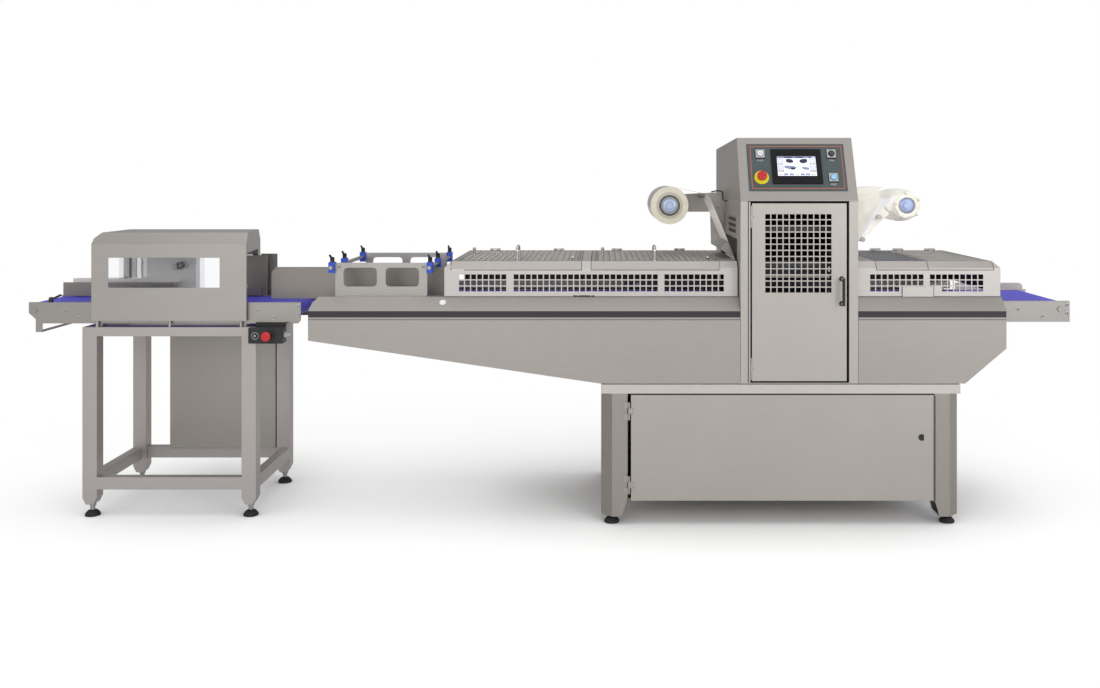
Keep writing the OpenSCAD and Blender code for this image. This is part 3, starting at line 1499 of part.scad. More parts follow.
module infeed_station() placed() color(bright) {
  station_plate(station_y0, station_y0 - ledge_w / 2, station_y0 + over);
  station_plate(station_y1, station_y1 + station_t - over, body_d - ledge_y + ledge_w / 2);
  for (x = cross_x) rod_y(station_y0 - rod_reach, station_y1 + station_t + rod_reach, x, cross_z,
    cross_rod_dia);
  for (x = [station_x0 + station_edge / 2, station_x1 - station_edge / 2])
    screw_front(x, station_y0, deck_z + station_h - station_edge / 2, screw_dia);
}

// A hub, and an arm that rises at a slant
lever_hub_dia = 18;
lever_hub_h = 20;
lever_arm_l = 46;
lever_arm_dia = 9;
lever_slant = 65;

module lever(x, y, z, turn) translate([x, y, z]) {
  cylinder(d = lever_hub_dia, h = lever_hub_h);
  translate([0, 0, lever_hub_h - lever_arm_dia]) rotate([0, 0, turn]) rotate([0, lever_slant, 0])
    cylinder(d = lever_arm_dia, h = lever_arm_l);
}

clamp_d = 40;

module clamp_block(x, y) {
  difference() {
    bar(x - clamp_w / 2, x + clamp_w / 2, y, y + clamp_d, cross_z - clamp_h / 2, cross_z + clamp_h / 2);
    rod_y(y - over, y + clamp_d + over, x, cross_z, cross_rod_dia + 2 * fit);
  }
  lever(x, y + clamp_d / 2, cross_z + clamp_h / 2, -90);
}

module end_clamps() placed() color(clamp_blue) for (x = cross_x) {
  clamp_block(x, station_y0 - clamp_d / 2);
  clamp_block(x, station_y1 - clamp_d / 2);
}

clamp_arm_l = 34;
clamp_arm_h = 18;
guide_r = 24;

module lane_guide() placed() color(bright) {
  along_y(guide_y, guide_y + guide_t) polygon(concat(
    [[guide_x0, guide_z0], [guide_x1, guide_z0], [guide_x1, guide_z0 + guide_h]],
    arc(guide_x0 + guide_r, guide_z0 + guide_h - guide_r, guide_r, 90, 180)));
  for (x = cross_x) {
    bar(x - clamp_w / 3, x + clamp_w / 3, guide_y + guide_t - over, guide_y + guide_t + clamp_arm_l + over,
      guide_z0 + guide_h - clamp_arm_h, guide_z0 + guide_h);
    clamp_block(x, guide_y + guide_t + clamp_arm_l);
  }
}

// The legs have slanted toes
stand_toe = 14;
mid_w = 40;
mid_z = stand_z - stand_rail_h;
mid_rail_inset = 10;
mid_y = hood_y1 - mid_w - mid_rail_inset;

module rail_ring(w, z0, z1) difference() {
  bar(stand_x0, stand_x1, stand_y0, stand_y1, z0, z1);
  bar(stand_x0 + w, stand_x1 - w, stand_y0 + w, stand_y1 - w, z0 - over, z1 + over);
}

module stand_frame() placed() color(steel) {
  at_corners(stand_x0, stand_x1, stand_y0, stand_y1) along_y(0, stand_leg_w) polygon([
    [0, mid_z], [0, foot_2_z + 2 * stand_toe], [stand_toe, foot_2_z],
    [stand_leg_w - stand_toe, foot_2_z], [stand_leg_w, foot_2_z + 2 * stand_toe],
    [stand_leg_w, mid_z]
  ]);
  rail_ring(stand_leg_w, mid_z, stand_z);
  rail_ring(mid_w, low_z, low_z + low_h);
  bar(stand_x0 + stand_leg_w - over, stand_x1 - stand_leg_w + over, mid_y, mid_y + mid_w,
    mid_z, stand_z);
  for (share = stud_shares) rod_z(stand_z, hood_z0, hood_x0 + hood_l * share, hood_y0 + stud_dia, stud_dia);
  for (x = [hood_x0 + post_fold / 2, hood_x1 - hood_skew - post_fold / 2])
    rod_z(stand_z, hood_z0, x, hood_y1 - stud_dia * 2, stud_dia);
}

stud_dia = 12;
stud_shares = [0.03, 0.5, 0.96];
post_fold = 34;
hood_lip = 18;
post_d = 62;

case_inset = 173;
case_gap = 4;
case_x0 = stand_x0 + case_inset;
case_x1 = stand_x1 - stand_leg_w - case_gap;
case_y0 = stand_y1 - stand_leg_w - case_gap - over;
case_d = 160;
case_z1 = mid_z - seat;

module stand_cabinet() placed() color(steel) {
  bar(case_x0, case_x1, case_y0, case_y0 + case_d,
    low_z + low_h, case_z1);
  bar(case_x0 + stud_dia, case_x1 - stud_dia, case_y0, case_y0 + case_d
    + sheet, low_z + low_h + stud_dia, case_z1 - stud_dia);
}

// The hood's outer form, chamfered, hipped at the left and slanted at the right
module hood_form(inset) {
  bottom = inset > 0 ? hood_z0 + hood_t : hood_z0;
  c = hood_cut + inset * tan(22.5);
  hip = hood_hip + inset * tan(22.5);
  end = hood_x1 - inset * norm([hood_skew, hood_d]) / hood_d;
  intersection() {
    along_x(hood_x0 - over, hood_x1 + over) polygon([
      [hood_y0 + inset, bottom], [hood_y0 + inset, hood_z1 - c], [hood_y0 + c, hood_z1 - inset],
      [hood_y1 - c, hood_z1 - inset], [hood_y1 - inset, hood_z1 - c], [hood_y1 - inset, bottom]
    ]);
    along_y(hood_y0 - over, hood_y1 + over) polygon([
      [hood_x0 + inset, bottom - over], [hood_x0 + inset, hood_z1 - hip], [hood_x0 + hip, hood_z1 - inset],
      [hood_x0 + hip, hood_z1 + over], [hood_x1 + over, hood_z1 + over], [hood_x1 + over, bottom - over]
    ]);
    translate([0, 0, bottom - 2 * over]) linear_extrude(hood_h + 4 * over) polygon([
      [hood_x0 - over, hood_y0 - over], [end + over * hood_skew / hood_d, hood_y0 - over],
      [end - (hood_d + over) * hood_skew / hood_d, hood_y1 + over], [hood_x0 - over, hood_y1 + over]
    ]);
  }
}

pane_at = [70, 139];
pane_l = 465;
pane_h = 125;
pane_x0 = hood_x0 + pane_at[0];
pane_x1 = pane_x0 + pane_l;
pane_z0 = hood_z0 + pane_at[1];
pane_z1 = pane_z0 + pane_h;
pane_lap = 15;
pane_t = 4;
hood_back_h = 250;
hood_back_z = hood_z0 + hood_back_h;

module hood() placed() color(steel) difference() {
  hood_form(0);
  hood_form(hood_t);
  bar(pane_x0, pane_x1, hood_y0 - over, hood_y0 + 2 * hood_t, pane_z0, pane_z1);
  bar(hood_x0 - over, hood_x1 + over, hood_y0 + hood_lip, hood_y1 - post_d, hood_z0 - over, tunnel_z1);
  bar(hood_x0 + post_fold, hood_x1 - hood_skew - post_fold, hood_y0 + hood_lip, hood_y1 + over,
    hood_z0 - over, hood_back_z);
}

module hood_window() placed() color([0.85, 0.9, 0.95, 0.35])
  bar(pane_x0 - pane_lap, pane_x1 + pane_lap, hood_y0 + hood_t, hood_y0 + hood_t + pane_t,
    pane_z0 - pane_lap, pane_z1 + pane_lap);

// Lane guide plates, and the dark plate of the star knob
side_inset = 33;
side_h = 65;
side_back = 40;
side_x0 = feed_x0 + side_inset;
side_reach = 258;
side_x1 = hood_x0 + side_reach;
side_y = in_belt_y1 - side_back;
back_inset = 23;
back_h = 77;
strut_rise = 35;
strut_shares = [0.1, 0.5, 0.9];
knob_at = [247, 98];
dark_at = [66, 262];
dark_rise = 61;
knob_x = hood_x0 + knob_at[0];
knob_z = deck_z + knob_at[1];
dark_x0 = hood_x0 + dark_at[0];
dark_x1 = dark_x0 + dark_at[1];
dark_y = mid_y + mid_w / 2;
dark_h = 115;
dark_z = belt_z + dark_h;
star_lobe_x = 11.4;
star_lobe_dia = 15.2;
star_body_dia = 26.6;

module lane_plates() placed() color(bright) {
  bar(side_x0, side_x1, side_y, side_y + sheet, belt_z + plate_gap, belt_z + side_h);
  bar(side_x0 + back_inset, side_x1, back_y, back_y + sheet,
    rail_z1, rail_z1 + back_h);
  for (share = strut_shares) {
    x = side_x0 + (side_x1 - side_x0) * share;
    bar(x, x + clamp_w, side_y + sheet, back_y, belt_z + strut_rise, belt_z + strut_rise + sheet);
  }
  difference() {
    union() {
      bar(dark_x0, dark_x1, dark_y, dark_y + sheet, stand_z, dark_z);
      bar(dark_x0, dark_x1, dark_y - sheet, dark_y, dark_z - screw_dia,
        dark_z + dark_rise);
    }
    rod_y(dark_y - 2 * sheet, dark_y + 2 * sheet, knob_x, knob_z, stem_dia + 2 * fit);
  }
  for (x = [dark_x0 + screw_dia, dark_x1 - screw_dia])
    screw_front(x, dark_y - sheet, knob_z + screw_dia, screw_dia);
  exit_part(exit_back, back_y, back_y + sheet);
  exit_part(exit_block, back_y - rail_d, back_y);
  exit_part(exit_post, dark_y, dark_y + sheet);
  exit_part(exit_sensor, dark_y - rail_d, dark_y);
}

// The plates at the hood's exit, each [x0, x1, z0, z1] from the hood's end and the rail's top
back_y = in_y1 - rail_d;
exit_back = [-130, 0, 0, 178];
exit_block = [-88, -24, 0, 37];
exit_post = [-44, 29, stand_z - rail_z1, 182];
exit_sensor = [-12, 18, 16, 50];

module exit_part(p, y0, y1) bar(hood_x1 + p[0], hood_x1 + p[1], y0, y1, rail_z1 + p[2], rail_z1 + p[3]);

module star_knob() placed() color(black) translate([knob_x, dark_y - sheet - seat, knob_z]) rotate([90, 0,
  0]) {
  for (i = [0:4]) rotate(i * 72) translate([star_lobe_x, 0, 0]) cylinder(d = star_lobe_dia, h = knob_h);
  cylinder(d = star_body_dia, h = knob_h);
  mirror([0, 0, 1]) cylinder(d = stem_dia, h = 3 * sheet);
}

lever_inset = 90;
lever_x = feed_x0 + lever_inset;
lever_y = in_y0 + rail_d / 2;
lever_pin_dia = 6;

module clamp_lever() placed() color(black) {
  lever(lever_x, lever_y, rail_z1 + seat, 0);
  rod_z(rail_z1 - 4 * sheet, rail_z1 + seat, lever_x, lever_y, lever_pin_dia);
}

// Switch box, hanger plate and cable gland
gland_dia = 22;
gland_l = 26;
hanger_rise = 5;
hanger_z = rail_z0 + hanger_rise;

module switch_box() placed() color(black) {
  difference() {
    bar(box_x0, box_x0 + box_w, box_y0, box_y0 + box_d, box_z1 - box_h, box_z1);
    rod_y(box_y0 - over, box_y0 + cap_stop_d, box_cap_x, box_mid_z, button_dia + 2 * fit);
    rod_y(box_y0, box_y0 + barrel_l - cap_stop_d, box_cap_x, box_mid_z, stem_dia + 2 * fit);
    rod_y(box_y0 - over, box_y0 + stem_depth + stop_travel + collar_h, box_stop_x, box_mid_z, barrel_dia);
  }
  rod_x(box_x0 + box_w - over, box_x0 + box_w + gland_l / 2, box_y0 + box_d / 2, box_mid_z, gland_dia);
  rod_x(box_x0 + box_w, box_x0 + box_w + gland_l, box_y0 + box_d / 2, box_mid_z, gland_dia * 2 / 3);
  bar(stand_x1 + seat, box_x0 + box_w, box_y0 + box_d, box_y0 + box_d + sheet, box_z1 - box_h / 2,
    hanger_z + sheet);
  bar(stand_x1 + seat, box_x0 + box_w, box_y0 + box_d, in_y0, hanger_z, hanger_z + sheet);
}

module stand_button() placed() color([0.9, 0.92, 0.95]) translate([0, box_y0, 0]) {
  rod_y(-cap_rise, cap_stop_d - button_travel - seat, box_cap_x, box_mid_z, button_dia);
  rod_y(-cap_rise, barrel_l - cap_stop_d - button_travel - 2 * seat, box_cap_x, box_mid_z, stem_dia);
}

body_panels();
belly_pan();
tower_column();
control_head();
control_plate();
touch_terminal();
button_bezels();
stop_collars();
door_seal();
fixed_hinges();
press_frame();
left_guard();
right_guard();
reel_arms();
film_webs();
base_frame();
base_cabinet();
control_gear();
drive_motors();
levelling_feet();
main_conveyor();
main_belt();
outfeed_conveyor();
outfeed_belt();
infeed_station();
end_clamps();
stand_frame();
stand_cabinet();
infeed_conveyor();
infeed_belt();
hood();
hood_window();
lane_plates();
switch_box();
tower_door();
door_handle();
cabinet_door();
cabinet_lock();
start_button();
stop_button();
reset_button();
panel_stop();
stand_button();
stand_stop();
left_lid_1();
left_lid_2();
right_lid_1();
right_lid_2();
film_reel();
scrap_rewinder();
lower_tool();
sealing_head();
front_gripper();
rear_gripper();
lane_guide();
infeed_roller();
main_roller();
outfeed_roller();
star_knob();
clamp_lever();
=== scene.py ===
"""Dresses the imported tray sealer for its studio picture: looks, small fittings, floor, light and camera.

Everything is in metres in the row's own frame: X runs along the line, Y from the front to the back, Z up.
Small fittings are placed in millimetres from the tower's centre line, the body's front plane and the floor.
"""

import math
from types import SimpleNamespace

import bmesh
import bpy
from mathutils import Matrix, Vector, noise


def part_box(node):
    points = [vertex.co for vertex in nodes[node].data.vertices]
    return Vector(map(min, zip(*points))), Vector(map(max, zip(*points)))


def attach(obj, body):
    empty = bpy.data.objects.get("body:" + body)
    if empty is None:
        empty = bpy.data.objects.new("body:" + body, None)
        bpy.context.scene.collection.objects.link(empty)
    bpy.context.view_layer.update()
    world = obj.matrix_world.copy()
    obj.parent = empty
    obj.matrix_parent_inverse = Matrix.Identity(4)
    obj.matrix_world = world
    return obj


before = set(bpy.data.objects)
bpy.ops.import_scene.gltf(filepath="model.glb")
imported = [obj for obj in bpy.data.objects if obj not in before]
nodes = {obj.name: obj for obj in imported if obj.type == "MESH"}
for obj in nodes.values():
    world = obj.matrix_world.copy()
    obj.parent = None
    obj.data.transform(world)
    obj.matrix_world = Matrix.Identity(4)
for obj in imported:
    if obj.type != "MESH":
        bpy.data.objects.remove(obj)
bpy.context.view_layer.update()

# The photograph: its size, the point that the camera's axis meets, and its scale at the machine's front
PHOTO_W = 1100
PHOTO_H = 688
AXIS_PX = (600, 175)
FRONT_SCALE = 0.00408
FRONT_DISTANCE = 4.45
EYE_HEIGHT = 1.427
AXIS_FROM_TOWER = -0.8135
SENSOR_WIDTH = 36
VIEW_END = 100


def srgb(red, green, blue):
    """A colour written as 0 to 255 in sRGB, as a linear colour with alpha."""
    def linear(value):
        value /= 255
        return value / 12.92 if value <= 0.04045 else ((value + 0.055) / 1.055) ** 2.4
    return (linear(red), linear(green), linear(blue), 1)


def shade(color, gain):
    """The colour made lighter or darker by a gain."""
    return tuple(min(1, part * gain) for part in color[:3]) + (1,)


# Looks


class Graph:
    """The shader nodes of a material or the world, with short ways to add and join them."""

    def __init__(self, tree):
        self.tree = tree

    def link(self, output, target):
        self.tree.links.new(output, target)

    def add(self, kind, sockets=None, **facts):
        """A node with its facts set, and its sockets linked to outputs or set to values."""
        node = self.tree.nodes.new(kind)
        for fact, value in facts.items():
            setattr(node, fact, value)
        for socket, value in (sockets or {}).items():
            if isinstance(value, bpy.types.NodeSocket):
                self.link(value, node.inputs[socket])
            else:
                node.inputs[socket].default_value = value
        return node

    def math(self, operation, a, b=0.0, c=0.0):
        return self.add("ShaderNodeMath", {0: a, 1: b, 2: c}, operation=operation).outputs[0]

    def seen_directly(self):
        """1 for rays from the camera, and for those that glass lets through."""
        path = self.add("ShaderNodeLightPath")
        return self.math("MAXIMUM", path.outputs["Is Camera Ray"], path.outputs["Is Transmission Ray"])


class Look(Graph):
    """A node material with one Principled shader, whose grain is laid in object space, in metres."""

    def __init__(self, name, color, rough, metallic=0.0, **sockets):
        self.material = bpy.data.materials.new(name)
        self.material.use_nodes = True
        super().__init__(self.material.node_tree)
        self.shader = self.tree.nodes["Principled BSDF"]
        self.base = color
        self.set("Base Color", color)
        self.set("Roughness", rough)
        self.set("Metallic", metallic)
        for socket, value in sockets.items():
            self.set(socket.replace("_", " "), value)
        self.place = self.add("ShaderNodeTexCoord").outputs["Object"]
        self.normal = None

    def set(self, socket, value):
        self.shader.inputs[socket].default_value = value

    def glow(self, color, strength):
        self.set("Emission Color", color)
        self.set("Emission Strength", strength)
        return self

    def stretched(self, stretch):
        return self.add("ShaderNodeMapping", {"Vector": self.place, "Scale": stretch}).outputs["Vector"]

    def noise(self, scale, stretch=(1, 1, 1), detail=3.0, harsh=0.5):
        """Noise with the given number of spots a metre."""
        sockets = {"Vector": self.stretched(stretch), "Scale": scale, "Detail": detail, "Roughness": harsh}
        return self.add("ShaderNodeTexNoise", sockets).outputs["Fac"]

    def waves(self, scale, axis):
        """Even waves along an axis, a number of them a metre."""
        return self.add("ShaderNodeTexWave", {"Vector": self.place, "Scale": scale * math.pi / 10},
                        wave_type="BANDS", wave_profile="SIN", bands_direction=axis).outputs["Fac"]

    def cells(self, scale, stretch):
        """Crumpled cells, as on a sheet that was folded up and smoothed."""
        return self.add("ShaderNodeTexVoronoi", {"Vector": self.stretched(stretch), "Scale": scale},
                        feature="F1").outputs["Distance"]

    def ramp(self, factor, low, high):
        """The factor spread so that low becomes 0 and high becomes 1, held at both ends."""
        return self.add("ShaderNodeMapRange", {"Value": factor, "From Min": low, "From Max": high}).outputs[0]

    def paint_level(self, low, high, color, soft=0.0004):
        """Paints a level band between two heights."""
        height = self.add("ShaderNodeSeparateXYZ", {0: self.place}).outputs["Z"]
        up = self.ramp(height, low - soft, low + soft)
        down = self.ramp(height, high - soft, high + soft)
        return self.tint(self.math("SUBTRACT", up, down), color)

    def tint(self, factor, color):
        """Lays a colour over the present one, by a factor."""
        present = self.shader.inputs["Base Color"]
        below = present.links[0].from_socket if present.is_linked else present.default_value
        mix = self.add("ShaderNodeMix", {0: factor, 6: below, 7: color}, data_type="RGBA")
        self.link(mix.outputs[2], present)
        return self

    def vary(self, factor, low, high):
        """Moves the base colour from a low to a high gain by a factor."""
        self.set("Base Color", shade(self.base, low))
        return self.tint(factor, shade(self.base, high))

    def rough(self, factor, low, high):
        spread = self.add("ShaderNodeMapRange", {"Value": factor, "To Min": low, "To Max": high})
        self.link(spread.outputs[0], self.shader.inputs["Roughness"])
        return self

    def lean(self, node):
        """Takes the surface's direction from a node."""
        self.normal = node.outputs["Normal"]
        self.link(self.normal, self.shader.inputs["Normal"])
        return self

    def bump(self, height, depth, strength=1.0):
        """Raises the surface by a height times a depth in metres."""
        sockets = {"Height": height, "Distance": depth, "Strength": strength}
        if self.normal:
            sockets["Normal"] = self.normal
        return self.lean(self.add("ShaderNodeBump", sockets))

    def rounded(self, radius):
        """Lets sharp edges catch the light as if they were rounded."""
        return self.lean(self.add("ShaderNodeBevel", {"Radius": radius}, samples=4))


FOLD_RADIUS = 0.0015
MOULD_RADIUS = 0.001
GRAIN = {"X": (0.012, 1, 1), "Y": (1, 0.012, 1), "Z": (1, 1, 0.012)}


def steel(name, color, along="X", rough=(0.36, 0.52), metallic=0.75):
    """Satin stainless sheet: a fine grain along one axis, faint clouds from handling, and rounded folds."""
    look = Look(name, color, rough[1], metallic)
    look.rounded(FOLD_RADIUS)
    grain = look.noise(900, GRAIN[along], detail=5, harsh=0.7)
    clouds = look.noise(1.7, detail=3, harsh=0.6)
    smears = look.noise(14, detail=4, harsh=0.65)
    look.vary(look.ramp(grain, 0.3, 0.7), 0.93, 1.05)
    look.tint(look.math("MULTIPLY", look.ramp(clouds, 0.45, 0.7), 0.35), shade(color, 0.9))
    look.rough(look.math("MULTIPLY_ADD", smears, 0.5, look.math("MULTIPLY", grain, 0.5)), *rough)
    look.bump(grain, 0.00006, 0.5)
    return look


def plastic(name, color, rough=0.42, grit=0.00008, **sockets):
    """Moulded plastic with a fine spark texture and slightly uneven gloss."""
    look = Look(name, color, rough, **sockets)
    look.rounded(MOULD_RADIUS)
    fine = look.noise(2600, detail=2)
    wide = look.noise(35, detail=3)
    look.vary(wide, 0.92, 1.08)
    look.rough(wide, rough * 0.85, min(1, rough * 1.2))
    look.bump(fine, grit, 0.6)
    return look


STEEL = srgb(172, 167, 162)
BRIGHT = srgb(166, 162, 158)
LEG = srgb(158, 153, 147)

body_look = steel("body_steel", STEEL)
head_look = steel("head_steel", shade(STEEL, 0.93))
door_look = steel("door_steel", shade(STEEL, 1.08), along="Z")
bright_look = steel("bright_steel", BRIGHT, rough=(0.28, 0.42), metallic=0.85)
leg_look = steel("leg_steel", LEG, along="Z", rough=(0.3, 0.44), metallic=0.85)
# The frame's upper rails: a lighter steel that stands for a painted highlight
rail_highlight_look = steel("rail_steel", srgb(199, 193, 190), rough=(0.3, 0.44))
cabinet_look = steel("cabinet_steel", srgb(174, 169, 163))
case_look = steel("case_steel", srgb(166, 161, 154))
guard_look = steel("guard_steel", srgb(190, 186, 183))
stand_look = steel("stand_steel", srgb(180, 174, 171))
guide_look = steel("guide_steel", srgb(142, 137, 130))
# The lane plates' far end under the hood: a pale steel that glows, painted light
hood_plate_look = steel("hood_plate_steel", srgb(212, 210, 207), metallic=0.3)
hood_plate_look.glow(srgb(205, 204, 200), 0.1)
lid_look = steel("lid_steel", shade(STEEL, 1.08), along="Y", rough=(0.3, 0.44))
chrome_look = Look("chrome", srgb(205, 205, 208), 0.12, 1.0)
chrome_look.rounded(0.0008)
chrome_look.rough(chrome_look.noise(60, detail=4), 0.08, 0.22)
cast_look = steel("cast_aluminium", srgb(80, 82, 86), rough=(0.5, 0.65), metallic=0.55)
# Painted shade: a dark steel for insides, slots and undersides where shade falls
inner_shade_look = steel("inner_shade_steel", srgb(52, 52, 55), rough=(0.5, 0.65), metallic=0.4)
black_look = plastic("black_plastic", srgb(24, 24, 26))
gloss_black_look = plastic("gloss_black", srgb(14, 14, 17), rough=0.38, grit=0.00001, Specular_IOR_Level=0.25)
# Black rubber; the same dark look also paints shade in screw recesses, slots, gaps and behind the vents
rubber_and_shade_look = plastic("black_rubber", srgb(26, 26, 27), rough=0.7, grit=0.0002)
blue_look = plastic("clamp_blue", srgb(32, 74, 196), rough=0.36)
yellow_look = plastic("stop_yellow", srgb(228, 210, 44), rough=0.32)
red_look = plastic("stop_red", srgb(190, 20, 26), rough=0.3, Coat_Weight=0.25)
white_look = plastic("white_cap", srgb(232, 232, 230), rough=0.3)
lens_look = plastic("lens_blue", srgb(120, 185, 235), rough=0.16, grit=0.00001, Coat_Weight=0.5)
grey_look = plastic("grey_gland", srgb(168, 168, 166), rough=0.4)
paint_look = plastic("grey_paint", srgb(196, 196, 190), rough=0.45, grit=0.0003)
motor_look = plastic("motor_paint", srgb(92, 98, 106), rough=0.4, grit=0.0003, metallic=0.2)
disc_look = steel("disc_alloy", srgb(168, 182, 206), rough=(0.3, 0.5), metallic=0.55)
scrap_disc_look = steel("scrap_disc_alloy", srgb(164, 178, 214), rough=(0.3, 0.5), metallic=0.5)
# The ring between the film's core and its disc: a dark colour that paints the recess's shadow
core_shadow_look = plastic("core_shadow", srgb(98, 94, 88), rough=0.8, grit=0.0003)
core_edge_look = plastic("core_edge", srgb(150, 145, 132), rough=0.5, grit=0.0003)
first_turns_look = plastic("first_turns", srgb(186, 180, 162), rough=0.4, grit=0.0003)

# The control plate's paint, the thin frame line on it, and what is printed on it and on the caps
plate_look = plastic("plate_paint", srgb(70, 80, 83), rough=0.5, grit=0.0001)
frame_line_look = plastic("frame_line", srgb(178, 96, 70), rough=0.5)
print_white_look = plastic("label_white", srgb(215, 220, 222), rough=0.5)
mark_grey_look = plastic("mark_grey", srgb(120, 122, 128), rough=0.4)
red_mark_look = plastic("stop_mark", srgb(150, 22, 18), rough=0.35)
# A dark grey for painted shadow in the gaps and under the head's foot
gap_shadow_look = plastic("joint_shadow", srgb(78, 74, 72), rough=0.7)

# The blue belt: a woven face in small squares, and its sides
belt_look = Look("belt_blue", srgb(90, 84, 222), 0.55, 0.0)
weave = belt_look.math("MULTIPLY", belt_look.waves(85, "X"), belt_look.waves(85, "Y"))
belt_look.vary(belt_look.ramp(weave, 0.05, 0.6), 0.72, 1.16)
worn = belt_look.math("MULTIPLY", belt_look.ramp(belt_look.noise(9), 0.5, 0.8), 0.25)
belt_look.tint(worn, srgb(130, 128, 220))
belt_look.bump(weave, 0.0012, 0.8)
belt_look.rough(weave, 0.62, 0.42)

# Film: fine windings on the roll, the roll's round side in a darker copy as painted shade, and the web that
# runs from it, with a faint glow as painted light
film_look = Look("wound_film", srgb(216, 210, 192), 0.3, 0.0, Coat_Weight=0.25, Subsurface_Weight=0.08)
film_look.vary(film_look.noise(30, (1, 0.2, 1), detail=5), 0.86, 1.08)
film_look.bump(film_look.noise(220, (1, 0.05, 1), detail=3), 0.0003, 0.5)
film_side_shade_look = Look("film_side", srgb(168, 162, 146), 0.26, 0.0, Coat_Weight=0.4)
film_side_shade_look.vary(film_side_shade_look.noise(22, (0.3, 1, 0.3), detail=5, harsh=0.7), 0.74, 1.14)
web_look = Look("film_web", srgb(214, 210, 200), 0.22, 0.0, Alpha=0.8,
                Emission_Color=srgb(214, 210, 200), Emission_Strength=0.26)
web_look.vary(web_look.noise(9, (1, 0.3, 1), detail=5), 0.88, 1.06)
web_look.bump(web_look.noise(16, (1, 0.35, 1), detail=5, harsh=0.6), 0.004, 0.6)

# Waste film: crumpled on its reel, tight in the web, and loose in the veil beside it, each with a glow as
# painted light that lifts its shade
scrap_look = Look("scrap_film", srgb(238, 236, 226), 0.28, 0.0, Coat_Weight=0.3, Subsurface_Weight=0.1,
                  Emission_Color=srgb(238, 236, 226), Emission_Strength=0.28)
scrap_look.vary(scrap_look.noise(26, (1, 0.4, 1), detail=6, harsh=0.7), 0.86, 1.05)
scrap_look.bump(scrap_look.cells(34, (1, 0.4, 1)), 0.004, 0.7)
scrap_web_look = Look("scrap_web", srgb(226, 226, 232), 0.3, 0.0, Alpha=0.8,
                      Emission_Color=srgb(226, 226, 232), Emission_Strength=0.42)
scrap_web_look.vary(scrap_web_look.noise(34, (1, 0.08, 0.3), detail=5, harsh=0.7), 0.84, 1.06)
scrap_web_look.bump(scrap_web_look.noise(30, (1, 0.12, 0.5), detail=4), 0.004, 0.6)
scrap_veil_look = Look("scrap_veil", srgb(234, 231, 222), 0.32, 0.0, Alpha=0.84,
                       Emission_Color=srgb(234, 231, 222), Emission_Strength=0.33)
scrap_veil_look.vary(scrap_veil_look.noise(22, (0.25, 1, 0.5), detail=5, harsh=0.7), 0.74, 1.06)
scrap_veil_look.bump(scrap_veil_look.noise(24, (0.3, 1, 0.5), detail=4), 0.005, 0.6)

# The lids' pierced roofs: painted shade darkens the bars of a square grid in patches
roof_look = steel("lid_roof", srgb(178, 174, 170), rough=(0.3, 0.42))
across = roof_look.ramp(roof_look.waves(40, "X"), 0.25, 0.4)
along = roof_look.ramp(roof_look.waves(20, "Y"), 0.2, 0.35)
patches = roof_look.ramp(roof_look.noise(2.6, (1, 0.5, 1), detail=2), 0.4, 0.56)
roof_look.tint(roof_look.math("MULTIPLY", roof_look.math("MULTIPLY", across, along),
                              roof_look.math("MULTIPLY_ADD", patches, 0.62, 0.22)), srgb(74, 70, 68))

clear_look = Look("clear_sheet", srgb(238, 242, 245), 0.06, 0.0, Transmission_Weight=1.0, IOR=1.15,
                  Alpha=0.35)
clear_look.rough(clear_look.noise(40, detail=4), 0.03, 0.12)

# The body panels: sheet with a dark band and a thin grey line under it, painted by their heights
DARK_BAND = (0.8455, 0.8715)
THIN_LINE = (0.8345, 0.8395)
panel_look = steel("panel_steel", srgb(164, 159, 154))
panel_look.paint_level(*DARK_BAND, srgb(62, 60, 64))
panel_look.paint_level(*THIN_LINE, srgb(120, 117, 114))


def screen_glow(name, color, strength):
    return plastic(name, color, rough=0.25, grit=0.000002).glow(color, strength)


screen_white = screen_glow("screen_white", srgb(228, 230, 248), 0.5)
screen_grey = screen_glow("screen_grey", srgb(150, 156, 186), 0.3)
screen_dark = screen_glow("screen_dark", srgb(58, 58, 84), 0.15)
screen_warm = screen_glow("screen_warm", srgb(222, 214, 200), 0.4)


def dress(node, look, *others):
    """Gives a CAD node its look, and other looks to the faces that a test picks by their centre."""
    mesh = nodes[node].data
    mesh.materials.clear()
    mesh.materials.append(look.material)
    for index, (other, test) in enumerate(others, start=1):
        mesh.materials.append(other.material)
        for face in mesh.polygons:
            if test(face.center, face.normal):
                face.material_index = index


def low(node):
    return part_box(node)[0]


def high(node):
    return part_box(node)[1]


def middle(node):
    return (low(node) + high(node)) / 2


def inner_faces(node):
    """Picks the faces of a folded shell that look to its inside."""
    heart = middle(node)
    return lambda centre, normal: normal.dot(heart - centre) > 0.002


def off_axis(point, centre):
    """The distance of a point from an axis along Y through a centre."""
    return math.hypot(point.x - centre.x, point.z - centre.z)


def above(height):
    return lambda centre, normal: centre.z > height


